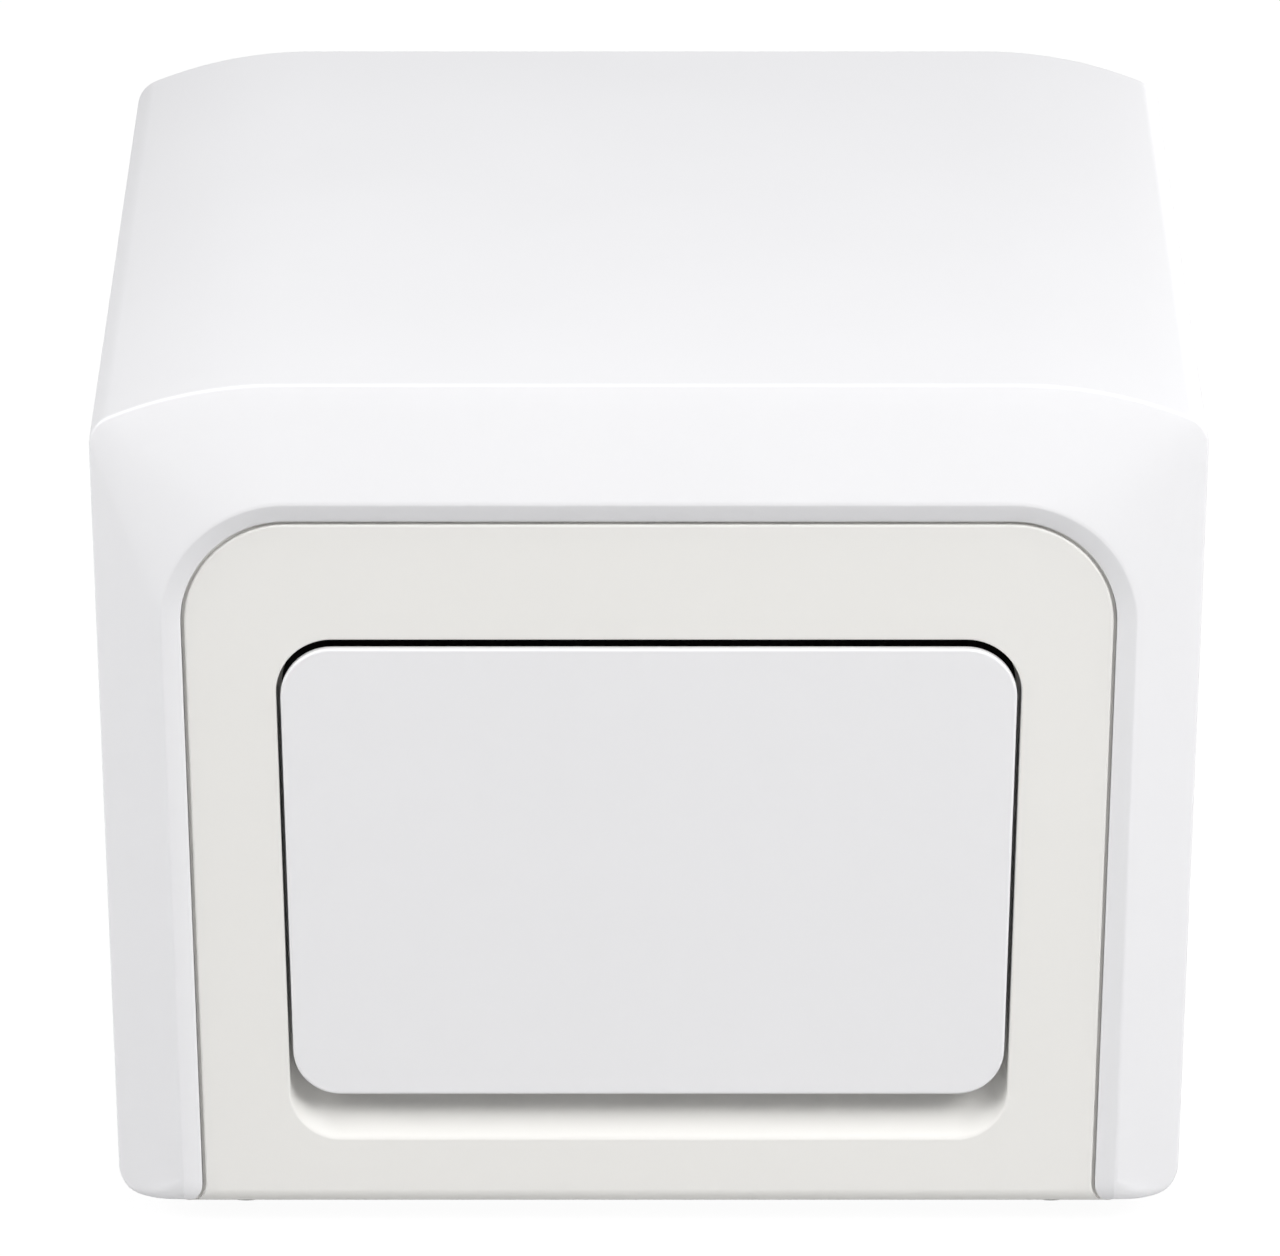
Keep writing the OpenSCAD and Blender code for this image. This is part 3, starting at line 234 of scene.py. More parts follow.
def toward(angle):
    """Unit vectors in the front view, by their angles from the right."""
    return np.stack([np.cos(angle), np.sin(angle)], -1)


leg = np.array([side_x(base_z + leg_r, leg_r), base_z + leg_r])
bend = np.array([0, top_z - band_top - ridge_r])
bend[0] = side_x(bend[1], band_side + ridge_r)
tip = np.array([side_x(base_z + tip_r, band_side + chamfer_w - tip_r), base_z + tip_r])

shoulder_count, crown_count, foot_count = 120, 60, 60
shoulder_angles = np.linspace(-lean, join, shoulder_count)
upper = np.concatenate([shoulder_angles, np.linspace(join, math.pi / 2, crown_count)])
lower = np.linspace(-math.pi / 2, -lean, foot_count)
arch_centre = np.where((upper > join)[:, None], crown, shoulder)
arch_radius = np.where(upper > join, crown_r, shoulder_r)
arch_reach = (arch_centre * toward(upper)).sum(1) + arch_radius
outline_angles = np.concatenate([lower, upper])
outline_reach = np.concatenate([toward(lower) @ leg + leg_r, arch_reach])
ridge_reach = toward(upper) @ bend + ridge_r


def beyond(flat, angles, reach):
    """How far each point lies outside the outline whose tangent at each angle has that reach."""
    return (flat @ toward(angles).T - reach).max(1)


def rounded(a, b, radius):
    """Height over the edge where two faces meet, with the edge rounded."""
    over = np.hypot(np.maximum(a + radius, 0), np.maximum(b + radius, 0))
    return np.minimum(np.maximum(a, b), -radius) + over


def cover_height(points):
    """Height of points over the cover's outer skin, below 0 inside it."""
    y, z = points[:, 1], points[:, 2]
    flat = np.stack([np.abs(points[:, 0]), z], -1)
    arch = beyond(flat, outline_angles, outline_reach)
    out = flat @ toward(upper).T
    step = arch_reach - ridge_reach
    lean_back = out - ridge_reach - ((y - front_y) / band_d)[:, None] * step
    band = (lean_back / np.hypot(1, step / band_d)).max(1)
    slope = chamfer_w / chamfer_d
    cut = (out - ridge_reach).max(1) + (y - front_y) * slope
    chamfer = -cut / math.hypot(1, slope)
    opening = -((out - ridge_reach).max(1) + chamfer_w)
    corner = np.hypot(np.maximum(tip[0] - flat[:, 0], 0), np.maximum(tip[1] - z, 0)) - tip_r
    opening = np.where(z < tip[1], np.maximum(opening, corner), opening)
    under = np.maximum(base_z + tip_roll - z, 0)
    below = np.hypot(np.maximum(front_y + tip_roll - y, 0), under) - tip_roll
    height = rounded(arch, band, crease_round)
    height = rounded(height, chamfer, ridge_round)
    height = rounded(height, below, roll_blend)
    return rounded(height, opening, lip_round)


def spread(ends, count):
    """Points from one place to another, without the last."""
    return [np.array(ends[0]) + (np.array(ends[1]) - ends[0]) * k / count for k in range(count)]


# The skin is found in sections across the ridge. Each has points near the ridge and points before
# (-) and past (+) its far edge, in millimetres, close together where the edge is rounded.
near_ridge = [0, 0.3, 0.65, 1.1, 1.7]
outer_marks = np.array([-9, -5, -3, -1.9, -1.3, -1, -0.75, -0.5, -0.25, -0.08,
                        0.12, 0.3, 0.55, 0.8, 1.05, 1.4, 2.2, 4])
inner_marks = np.array([-3, -1.6, -1, -0.7, -0.5, -0.35, -0.2, -0.1, 0,
                        0.1, 0.2, 0.35, 0.5, 0.7, 1, 3, 6, 12])
tip_marks = np.array([-6, -4, -3, -2.3, -1.8, -1.4, -1, -0.6, -0.25, 0.1,
                      0.4, 0.8, 1.2, 1.6, 2.1, 2.8, 4.5, 8])
top_steps, crown_steps, shoulder_steps, leg_steps = 6, 14, 20, 8
tip_turns = 48
tip_crowding = 1.4
ray_reach = 90
halvings = 26


def cast(start, direction):
    """Where rays from inside the cover meet its skin, by halving."""
    near, far = np.zeros(len(start)), np.full(len(start), float(ray_reach))
    for _ in range(halvings):
        middle = (near + far) / 2
        outside = cover_height(start + middle[:, None] * direction) > 0
        near, far = np.where(outside, near, middle), np.where(outside, middle, far)
    return start + near[:, None] * direction


def section(spine, edge, depth, marks):
    """Points of the skin in a plane across the ridge, from the ridge to past an edge."""
    side = np.array(edge) - spine
    across = np.linalg.norm(side)
    face = math.hypot(across, depth)
    places = [(mark / face, 0) for mark in near_ridge]
    places += [(1 + min(mark, 0) / face, max(mark, 0)) for mark in marks]
    directions = []
    for share, past in places:
        angle = math.atan2(across * share, core_d - depth * share - past)
        out = side / across * math.sin(angle)
        directions.append((out[0], -math.cos(angle), out[1]))
    start = (spine[0], core_y, spine[1])
    return cast(np.array([start] * len(directions)), np.array(directions))


def ridge_places():
    """Points down the ridge, each with its place on the crease, and the ridge's end at the tip."""
    ridge_top = bend[1] + ridge_r
    places = [(spine + [0, ridge_top], (spine[0] * crown[0] / bend[0], top_z))
              for spine in spread(([0, 0], [bend[0], 0]), top_steps)]
    crown_turn = np.linspace(math.pi / 2, join, crown_steps)[:-1]
    for angle in np.concatenate([crown_turn, np.linspace(join, -lean, shoulder_steps)]):
        centre, radius = (crown, crown_r) if angle > join else (shoulder, shoulder_r)
        places.append((bend + ridge_r * toward(angle), centre + radius * toward(angle)))
    ridge_end = np.array([side_x(leg[1], band_side), leg[1]])
    ridge_leg = spread((places[-1][0], ridge_end), leg_steps)[1:]
    crease_leg = spread((places[-1][1], leg + leg_r * toward(-lean)), leg_steps)[1:]
    return places + list(zip(ridge_leg, crease_leg)), ridge_end


def tip_sections(ridge_end):
    """Sections round the leg's tip, from its outer side past the bottom to the opening."""
    sections = []
    for k in range(tip_turns + 1):
        turn = 2 * k / tip_turns - 1
        turn = math.copysign(abs(turn) ** tip_crowding, turn)
        side = toward(-lean - math.pi * (1 + turn) / 2)
        start = np.array([[ridge_end[0], core_y, ridge_end[1]]])
        edge = cast(start, np.array([[side[0], 0, side[1]]]))[0, [0, 2]]
        slope, marks = band_d / band_side, outer_marks
        if turn > 0:
            slope, marks = chamfer_d / chamfer_w, inner_marks
        depth = slope * abs((edge - ridge_end) @ toward(-lean))
        blended = tip_marks + (marks - tip_marks) * abs(turn)
        sections.append(section(ridge_end, edge, depth, blended))
    return sections


def opening_edge(spine):
    """Place on the opening's edge that faces a point of the ridge."""
    if spine[1] > bend[1] + ridge_r - 1e-6:
        return spine - [0, chamfer_w]
    if spine[1] > bend[1]:
        return spine + (bend - spine) * chamfer_w / ridge_r
    return spine - chamfer_w * toward(-lean)


def outward_at(point):
    """Outward direction of the arch in the front view, at a point on it."""
    beyond_each = toward(outline_angles) @ point[[0, 2]] - outline_reach
    return toward(outline_angles[np.argmax(beyond_each)])


weld_distance = 2e-6
smallest_edge = 1e-7
sharp_angle = math.radians(34)


def joined(name, points, faces):
    """A mesh object from millimetre points, with doubled points welded and normals outward."""
    mesh = bpy.data.meshes.new(name)
    mesh.from_pydata([tuple(0.001 * c for c in p) for p in points], [], faces)
    shape = bmesh.new()
    shape.from_mesh(mesh)
    bmesh.ops.remove_doubles(shape, verts=shape.verts, dist=weld_distance)
    bmesh.ops.dissolve_degenerate(shape, edges=shape.edges, dist=smallest_edge)
    bmesh.ops.recalc_face_normals(shape, faces=shape.faces)
    shape.to_mesh(mesh)
    shape.free()
    piece = bpy.data.objects.new(name, mesh)
    bpy.context.scene.collection.objects.link(piece)
    mesh.shade_smooth()
    mesh.set_sharp_from_angle(angle=sharp_angle)
    piece.modifiers.new("even_normals", "WEIGHTED_NORMAL").keep_sharp = True
    return piece


def arch_cover():
    """The right half of the skin, with its rear edge and its inner wall, mirrored to the left."""
    places, ridge_end = ridge_places()
    sections = [section(spine, edge, band_d, outer_marks) for spine, edge in places]
    sections += tip_sections(ridge_end)
    sections += [section(spine, opening_edge(spine), chamfer_d, inner_marks)
                 for spine, _edge in reversed(places)]
    points = [tuple(point) for point in np.concatenate(sections)]
    count, rows = len(sections), len(sections[0])
    faces = []
    for j in range(count - 1):
        for a in range(j * rows, (j + 1) * rows - 1):
            faces.append((a, a + 1, a + rows + 1, a + rows))
    tail = [(rear_y - before, inset) for before, inset in rear_edge]
    tail += [(rear_y, wall), (front_y + lip_end_d, wall)]
    spans = []
    for j in range(len(places) + tip_turns // 2 + 1):
        edge = sections[j][-1]
        normal = outward_at(edge)
        span = [(j + 1) * rows - 1]
        for y, inset in tail:
            span.append(len(points))
            points.append((edge[0] - inset * normal[0], y, edge[2] - inset * normal[1]))
        spans.append(span + [(count - j) * rows - 1])
    for left, right in zip(spans, spans[1:]):
        for k in range(len(left) - 1):
            faces.append((left[k], left[k + 1], right[k + 1], right[k]))
    faces.append(tuple(spans[-1][:-1]))
    total = len(points)
    points += [(-x, y, z) for x, y, z in points]
    faces += [tuple(total + i for i in reversed(face)) for face in faces]
    return joined("arch_shell", points, faces)


def on_piece(name):
    """An empty material, the Socket that its nodes start from, and places in metres."""
    material, start = new_material(name)
    return material, start, start.make("TexCoord", out=3)


def noise(start, place, scale, detail=2, distortion=0.0):
    """Soft noise with so many waves to the metre."""
    return start.make("TexNoise", inputs={
        "Vector": place, "Scale": scale, "Detail": detail, "Distortion": distortion})


def finished(material, start, colour, roughness, relief=None, depth=0.00005, strength=0.5,
             metallic=0.0, fixed=None):
    """Ends a material: a colour and a roughness that may vary, over a relief in metres."""
    inputs = {"Base Color": colour if isinstance(colour, Socket) else (*colour, 1),
              "Roughness": roughness, "Metallic": metallic, **(fixed or {})}
    if relief is not None:
        bump = {"Height": relief, "Strength": strength, "Distance": depth}
        inputs["Normal"] = start.make("Bump", inputs=bump)
    skin = start.make("BsdfPrincipled", inputs=inputs)
    start.make("OutputMaterial", inputs={"Surface": skin})
    return material


def moulded(name, colour, grain=0.35, roughness=0.42):
    """Satin moulded plastic: a fine spark-eroded grain, faint cloudiness and uneven gloss."""
    material, start, place = on_piece(name)
    clouds = noise(start, place, 14, 3)
    grains = noise(start, place, 2600)
    pits = start.make("TexVoronoi", inputs={"Vector": place, "Scale": 1500})
    dull = tuple(c * 0.985 for c in colour)
    return finished(material, start, clouds.colour(dull, colour),
                    roughness + 0.06 * clouds + 0.05 * grains, grains + 0.6 * pits, 0.00003, grain,
                    fixed={"IOR": 1.48})


shell_white = (0.87, 0.867, 0.88)
shell = arch_cover()
shell.data.materials.append(moulded("shell_white", shell_white))
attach(shell, "housing")
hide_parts("arch_cover")


# Front panel: a second moulding, warm white, set in the arch behind a fine seam. It holds the
# drawer's recess with the finger scoop below it, and its foot rolls under as the cover's does.
seam = 1.2
roll_r = 6
seam_d = 2.6
seam_clear = 0.15
edge_round = 0.8
return_d = 12
recess_d = 14
recess_round = 0.7
scoop_h = 16.6
side_gap = 1.5
top_gap = 3
plate_w = 248
plate_h = 162.5
plate_drop = 91.2
plate_r_top = 17.5
plate_r_bottom = 16.2
aperture_w = 226
aperture_h = 133
aperture_r = 6

plate_low = top_z - plate_drop - plate_h
plate_high = top_z - plate_drop
plate_half = plate_w / 2 - plate_h / 2 * math.tan(lean)
recess_y = face_y + recess_d
roll_marks = (1.1, 1.5, 2, 2.6, 3.3, 4.1, 5, roll_r)
across_steps, corner_steps, side_steps, foot_steps = 8, 16, 12, 16


def half_loop(top_centre, top_r, foot):
    """Right half of a ring in the front view, from the middle of its top to that of its bottom."""
    top_level = top_centre[1] + top_r
    top = spread(([0, top_level], [top_centre[0], top_level]), across_steps)
    corner = list(top_centre + top_r * toward(np.linspace(math.pi / 2, -lean, corner_steps)))
    side = spread((corner[-1], foot[0]), side_steps)[1:]
    bottom = [foot[-1] * [1 - k / across_steps, 1] for k in range(1, across_steps + 1)]
    return np.array(top + corner + side + list(foot) + bottom)


def leaning_ring(half_low, low_z, high_z, low_r, high_r):
    """Rounded outline with sides that lean as the case does, from its half width at the foot."""
    rise, stretch = math.tan(lean), 1 / math.cos(lean)
    low = np.array([half_low + low_r * (rise - stretch), low_z + low_r])
    half_high = half_low + (high_z - high_r - low_z) * rise
    high = np.array([half_high - high_r * stretch, high_z - high_r])
    foot = low + low_r * toward(np.linspace(-lean, -math.pi / 2, foot_steps))
    return half_loop(high, high_r, foot)


def panel_ring(inset):
    """Outline of the front panel, inset from its edge. Its foot flares to the leg's tip."""
    back = seam + inset
    out = band_side + chamfer_w + back
    radius = tip_r + back
    level = base_z + max(inset, 0)
    end = math.asin((tip[1] - level) / radius)
    foot = tip - radius * toward(np.linspace(-lean, end, foot_steps))
    foot = np.array([p if p[1] > level else [max(p[0], side_x(level, out)), level] for p in foot])
    return half_loop(bend, ridge_r - chamfer_w - back, foot)


def plate_ring(grow, up, down):
    """Outline of the drawer front, grown by one gap at its sides, another above and one below."""
    half_low = plate_half + grow - down * math.tan(lean)
    radii = (plate_r_bottom + grow, plate_r_top + grow)
    return leaning_ring(half_low, plate_low - down, plate_high + up, *radii)


def aperture_ring(grow):
    """Outline of the opening that the drawer passes through, grown on all sides."""
    middle = (plate_low + plate_high) / 2
    half, high, radius = aperture_w / 2 + grow, aperture_h / 2 + grow, aperture_r + grow
    centre = np.array([half - radius, middle + high - radius])
    low = np.array([half - radius, middle - high + radius])
    foot = low + radius * toward(np.linspace(0, -math.pi / 2, foot_steps))
    return half_loop(centre, radius, foot)


def quarter(count):
    """Sines and cosines of the steps of a rounded edge."""
    turns = [k * math.pi / 2 / count for k in range(count + 1)]
    return [(math.sin(turn), math.cos(turn)) for turn in turns]


def rolled(y, ring):
    """Ring points at a depth, moved back where the foot rolls under."""
    short = np.clip(roll_r - (ring[:, 1] - base_z), 0, roll_r)
    back = roll_r - np.sqrt(roll_r ** 2 - short ** 2)
    return np.stack([ring[:, 0], np.maximum(y, face_y + back), ring[:, 1]], -1)


def at_depth(y, ring):
    """Ring points at one depth."""
    return np.stack([ring[:, 0], np.full(len(ring), y), ring[:, 1]], -1)


def bands(pairs, count):
    """Faces between pairs of closed loops that have count points each."""
    faces = []
    for a, b in pairs:
        for k in range(count):
            after = (k + 1) % count
            faces.append((a * count + k, a * count + after, b * count + after, b * count + k))
    return faces


def ring_faces(rings, closed):
    """Points and faces of a skin through matched half rings, mirrored to the left."""
    points = []
    for half in rings:
        points += list(half) + [p * [-1, 1, 1] for p in half[-2:0:-1]]
    count = 2 * len(rings[0]) - 2
    pairs = list(zip(range(len(rings)), range(1, len(rings))))
    if closed:
        return points, bands(pairs + [(len(rings) - 1, 0)], count)
    ends = [tuple(range(count)), tuple(reversed(range(len(points) - count, len(points))))]
    return points, bands(pairs, count) + ends


def front_panel():
    """One closed skin: round the edge, over the face, down the recess and back inside."""
    rear, seam_floor = face_y + return_d, face_y + seam_d
    rings = [at_depth(rear, panel_ring(wall)), at_depth(rear, panel_ring(seam_clear - seam))]
    rings += [rolled(seam_floor, panel_ring(seam_clear - seam)), rolled(seam_floor, panel_ring(0))]
    for sine, cosine in quarter(6):
        inset = edge_round * (1 - cosine)
        rings.append(rolled(face_y + edge_round * (1 - sine), panel_ring(inset)))
    for inset in roll_marks:
        rings.append(rolled(face_y, panel_ring(inset)))
    slope = (scoop_h - side_gap) / recess_d
    for sine, cosine in quarter(5):
        extra = recess_round * (1 - sine)
        depth = recess_round * (1 - cosine)
        ring = plate_ring(side_gap + extra, top_gap + extra, scoop_h + extra - depth * slope)
        rings.append(at_depth(face_y + depth, ring))
    for sine, cosine in quarter(5):
        depth = recess_d - recess_round * (1 - sine)
        inward = recess_round * (1 - cosine)
        ring = plate_ring(side_gap - inward, top_gap - inward, scoop_h - depth * slope - inward)
        rings.append(at_depth(face_y + depth, ring))
    tub_y = recess_y + wall
    rings += [at_depth(recess_y, aperture_ring(0)), at_depth(tub_y, aperture_ring(0))]
    for y, down in ((tub_y, side_gap), (face_y + wall, scoop_h)):
        rings.append(at_depth(y, plate_ring(side_gap + wall, top_gap + wall, down + wall)))
    rings.append(rolled(face_y + wall, panel_ring(wall)) + [0, wall / 2, 0])
    return joined("panel_moulding", *ring_faces(rings, True))


ivory = (0.915, 0.902, 0.87)
panel = front_panel()
panel.data.materials.append(moulded("panel_ivory", ivory))
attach(panel, "housing")
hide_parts("front_panel")


# Drawer front: a cool white moulded plate with rounded edges, and a grid of ribs behind it. It is
# screwed from inside to the front of the drawer's tray.
plate_stands = 0.8
plate_d = 12
plate_round = 1.0
plate_set_in = 6
rib = 2.5
rim_w = 20
rim_h = 14
pocket_columns, pocket_rows = 5, 3

plate_y = face_y - plate_stands
plate_back = plate_y + plate_d
block_faces = ((0, 1, 2, 3), (4, 5, 6, 7), (0, 1, 5, 4), (1, 2, 6, 5), (2, 3, 7, 6), (3, 0, 4, 7))


def rib_pockets():
    """The blocks that hollow the plate's back between its ribs."""
    cell_w = (plate_w - 2 * rim_w) / pocket_columns
    cell_h = (plate_h - 2 * rim_h) / pocket_rows
    half_w, half_h = (cell_w - rib) / 2, (cell_h - rib) / 2
    points, faces = [], []
    for column in range(pocket_columns):
        for row in range(pocket_rows):
            x = (column - (pocket_columns - 1) / 2) * cell_w
            z = (plate_low + plate_high) / 2 + (row - (pocket_rows - 1) / 2) * cell_h
            first = len(points)
            for y in (plate_y + wall, plate_back + 1):
                points += [(x + sx * half_w, y, z + sz * half_h) for sx, sz in square]
            faces += [tuple(first + corner for corner in face) for face in block_faces]
    return joined("pockets", points, faces)


def smaller_plate(y, inward):
    """The drawer front's outline at one depth, drawn in on all its sides."""
    return at_depth(y, plate_ring(-inward, -inward, -inward))


def drawer_plate():
    """The plate's rounded front over a smaller back, with the pockets cut out of it."""
    rings = [smaller_plate(plate_back, plate_set_in)]
    rings += [smaller_plate(plate_y + wall, plate_set_in), smaller_plate(plate_y + wall, 0)]
    for sine, cosine in quarter(6):
        inward = plate_round * (1 - cosine)
        rings.append(smaller_plate(plate_y + plate_round * (1 - sine), inward))
    plate = joined("drawer_plate", *ring_faces(rings, False))
    pockets = rib_pockets()
    cut = plate.modifiers.new("rib_pockets", "BOOLEAN")
    cut.object = pockets
    cut.solver = "EXACT"
    plate.modifiers.move(1, 0)
    plate.modifiers["even_normals"].show_viewport = False
    bpy.context.view_layer.update()
    cut_plate = plate.evaluated_get(bpy.context.evaluated_depsgraph_get())
    plate.data = bpy.data.meshes.new_from_object(cut_plate)
    plate.modifiers.remove(cut)
    bpy.data.objects.remove(pockets)
    plate.modifiers["even_normals"].show_viewport = True
    return plate


cool_white = (0.905, 0.901, 0.912)
plate = drawer_plate()
plate.data.materials.append(moulded("drawer_white", cool_white, 0.28, 0.38))
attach(plate, "drawer")
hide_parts("drawer_front")


# Painted shade: a thin near-black sheet laid on the floor of the recess, round the rubber seal.
# Its black stands in for the shade in the gap beside the drawer front.
shade_sheet_t = 1.2
shade_sheet_in = 7.6
shade_sheet_lift = 0.01
shade_sheet_under = 0.2
shade_sheet_above = 1


def painted_shade_sheet():
    """A flat frame from round the seal to just under the edge of the drawer front."""
    inner, outer = aperture_ring(shade_sheet_in), plate_ring(-shade_sheet_under, shade_sheet_above, -shade_sheet_under)
    back, front = recess_y - shade_sheet_lift, recess_y - shade_sheet_t
    rings = [at_depth(back, inner), at_depth(front, inner)]
    rings += [at_depth(front, outer), at_depth(back, outer)]
    return joined("painted_shade_sheet", *ring_faces(rings, True))


def painted_shade_black():
    """Painted shade: near black, mottled like tangled fibres, dull and rough."""
    material, start, place = on_piece("painted_shade_black")
    fibres = noise(start, place, 900, 6, 1.5)
    # The near-black colour is painted shade for the gap beside the drawer front.
    colour = fibres.colour((0.004, 0.004, 0.004), (0.022, 0.021, 0.02))
    return finished(material, start, colour, 1.0, fibres, 0.0003, 0.7,
                    fixed={"Specular IOR Level": 0.1})


# A near-black sheet put in the recess as painted shade.
shade_sheet_piece = painted_shade_sheet()
shade_sheet_piece.data.materials.append(painted_shade_black())
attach(shade_sheet_piece, "housing")


# Rubber: the four feet it stands on, the light seal round the drawer's opening and both belts are
# moulded black rubber, dull, with a dusting of talc.
def shared(names, material, soften=0.0):
    """Gives CAD pieces a material and, where they are seen, edges rounded by soften mm."""
    for name in names:
        piece = nodes[name]
        piece.data.materials.clear()
        piece.data.materials.append(material)
        if soften:
            piece.modifiers.new("weld", "WELD").merge_threshold = 1e-5
            edge = piece.modifiers.new("soft_edges", "BEVEL")
            edge.width = 0.001 * soften
            edge.segments = 2
            edge.limit_method = "ANGLE"
            edge.angle_limit = math.radians(40)
            edge.harden_normals = True
            edge.use_clamp_overlap = True


def rubber():
    material, start, place = on_piece("rubber")
    dust = noise(start, place, 180, 4)
    pores = noise(start, place, 2400, 3)
    return finished(material, start, dust.colour((0.012, 0.012, 0.013), (0.042, 0.041, 0.041)),
                    0.72 + 0.2 * dust, pores + 0.5 * dust, 0.00006)


rubber_black = rubber()
shared(["light_seal", "lid_belt", "scan_belt"], rubber_black)
shared(["feet"], rubber_black, 0.8)


# Sheet metal: the pan, the chassis, the bulkhead, the tray and its slides are zinc-plated steel,
# punched and folded, with the faint spangle and the long rolling marks of such sheet.
def stretched(start, place, scale):
    """Coordinates scaled by a different amount along each axis."""
    return start.make("VectorMath", {"operation": "MULTIPLY"}, {0: place, 1: scale})


def zinc_plate():
    material, start, place = on_piece("zinc_plate")
    spangle = start.make("TexVoronoi", inputs={"Vector": place, "Scale": 160})
    rolling = noise(start, stretched(start, place, (30, 900, 900)), 1, 3)
    clouds = noise(start, place, 22, 3)
    tone = 0.5 * clouds + 0.5 * rolling
    return finished(material, start, tone.colour((0.5, 0.51, 0.53), (0.7, 0.71, 0.72)),
                    0.3 + 0.12 * rolling + 0.1 * spangle, rolling + 0.4 * clouds, 0.00002, 0.4,
                    1.0)


zinc = zinc_plate()
shared(["base_pan"], zinc, 0.25)
shared(["chassis_left", "chassis_right", "rear_bulkhead", "channel_left", "channel_right",
        "power_supply", "drawer_tray", "rail_left", "rail_right"], zinc)


# Rear panel: steel sheet with a light grey powder coat, whose fine orange peel softens every
# punched edge. Six screws hold it to the cover's ledge.
def powder_coat():
    material, start, place = on_piece("powder_coat")
    peel = noise(start, place, 650, 2)
    specks = noise(start, place, 2600, 1)
    clouds = noise(start, place, 9, 3)
    return finished(material, start, clouds.colour((0.6, 0.605, 0.615), (0.64, 0.645, 0.65)),
                    0.46 + 0.1 * peel, peel + 0.3 * specks, 0.00009, 0.55)


shared(["rear_panel"], powder_coat(), 0.3)


# Steel parts: screws, the fan guard, the sockets' shells, slide balls, guide rods, lead screws and
# pulleys are ground or turned steel with bright nickel plating.
def bright_steel():
    material, start, place = on_piece("bright_steel")
    turning = noise(start, stretched(start, place, (300, 300, 2600)), 1, 2)
    smears = noise(start, place, 70, 3)
    return finished(material, start, smears.colour((0.6, 0.6, 0.61), (0.74, 0.74, 0.75)),
                    0.2 + 0.1 * smears + 0.08 * turning, turning, 0.000008, 0.4, 1.0)


steel_bright = bright_steel()
shared(["network_socket", "data_socket"], steel_bright, 0.12)
shared(["rear_screws", "fan_guard", "board_standoffs", "ball_cages", "front_screws", "catch_plate",
        "lid_guide_pins", "lid_screw_left", "lid_screw_right", "guide_rods", "drive_pulley",
        "idler_pulley", "idler_post"], steel_bright)


# Black plastic: the fans, the mains inlet, the frame of the switch and the deck of the drawer are
# moulded in glass-filled nylon, with the faint swirl of its fibres.
def black_nylon():
    material, start, place = on_piece("black_nylon")
    swirl = noise(start, place, 55, 5, 1.8)
    grain = noise(start, place, 1900, 2)
    return finished(material, start, swirl.colour((0.011, 0.011, 0.012), (0.026, 0.026, 0.028)),
                    0.36 + 0.14 * swirl + 0.06 * grain, grain, 0.00003)


nylon = black_nylon()
shared(["exhaust_fan_frame", "inlet_housing", "switch_frame"], nylon, 0.25)
shared(["catch_magnet", "exhaust_fan_rotor", "drawer_deck", "sink_fan_frames", "sink_rotor_left",
        "sink_rotor_right"], nylon)


# Inlet pins: three blades of drawn brass, pressed into the mains inlet's housing. Oxide has
# dulled them a little along the lines of the drawing.
def brass_pin():
    material, start, place = on_piece("brass_pin")
    drawn = noise(start, stretched(start, place, (1800, 60, 1800)), 1, 2)
    return finished(material, start, drawn.colour((0.62, 0.56, 0.38), (0.74, 0.68, 0.5)),
                    0.22 + 0.12 * drawn, drawn, 0.00001, 0.3, 1.0)


shared(["inlet_pins"], brass_pin(), 0.3)


# Rocker of the power switch: glossy black, with the two usual marks, a bar for on and a ring for
# off, printed in white on its two faces.
def gloss_black():
    material, start, place = on_piece("gloss_black")
    smears = noise(start, place, 240, 4)
    return finished(material, start, (0.012, 0.012, 0.013), 0.12 + 0.12 * smears,
                    smears, 0.00001, 0.2)


def ink_white():
    material, start, place = on_piece("ink_white")
    grain = noise(start, place, 3000, 2)
    return finished(material, start, grain.colour((0.72, 0.72, 0.7), (0.82, 0.82, 0.8)),
                    0.5 + 0.1 * grain, grain, 0.00001)


shared(["power_rocker"], gloss_black(), 0.2)

rocker_low, rocker_high = [1000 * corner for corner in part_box("power_rocker")]
switch_x = (rocker_low.x + rocker_high.x) / 2
switch_level = 43
pivot_in = 3
rocker_pivot = 1000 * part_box("rear_panel")[1].y - pivot_in
rocker_tilt = math.radians(8)
rocker_half = 8.1
rocker_crest, rocker_dip = 7.4, 5.6
ink_t = 0.06
bar_w, bar_h = 0.68, 3.4
bar_core_w, bar_core_h = 0.04, 2.8
circle_r, circle_hole_r = 1.65, 1.05


def on_rocker(across, along, height, face):
    """A place on the rocker's upper (1) or lower (-1) face, tilted as the rocker rests."""
    slope = (rocker_crest - rocker_dip) / rocker_half
    length = math.hypot(1, slope)
    y = rocker_dip + slope * rocker_half / 2 + (slope * along * face + height) / length
    z = face * rocker_half / 2 + (along - face * slope * height) / length
    turned_y = y * math.cos(rocker_tilt) + z * math.sin(rocker_tilt)
    turned_z = z * math.cos(rocker_tilt) - y * math.sin(rocker_tilt)
    return (switch_x + across, rocker_pivot + turned_y, switch_level + turned_z)


def printed_mark(name, loops, face):
    """A closed thin print between an outer and an inner loop of matched flat points."""
    points = []
    for height in (-ink_t, ink_t):
        for loop in loops:
            points += [on_rocker(across, along, height, face) for across, along in loop]
    mark = joined(name, points, bands(((0, 1), (1, 3), (3, 2), (2, 0)), len(loops[0])))
    mark.data.materials.append(ink_white())
    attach(mark, "rocker")


def bar_loop(width, height):
    return [(sx * width / 2, sz * height / 2) for sx, sz in square]


def ring_loop(radius, count=40):
    turns = [2 * math.pi * k / count for k in range(count)]
    return [(radius * math.cos(turn), radius * math.sin(turn)) for turn in turns]


printed_mark("mark_on", [bar_loop(bar_w, bar_h), bar_loop(bar_core_w, bar_core_h)], 1)
printed_mark("mark_off", [ring_loop(circle_r), ring_loop(circle_hole_r)], -1)


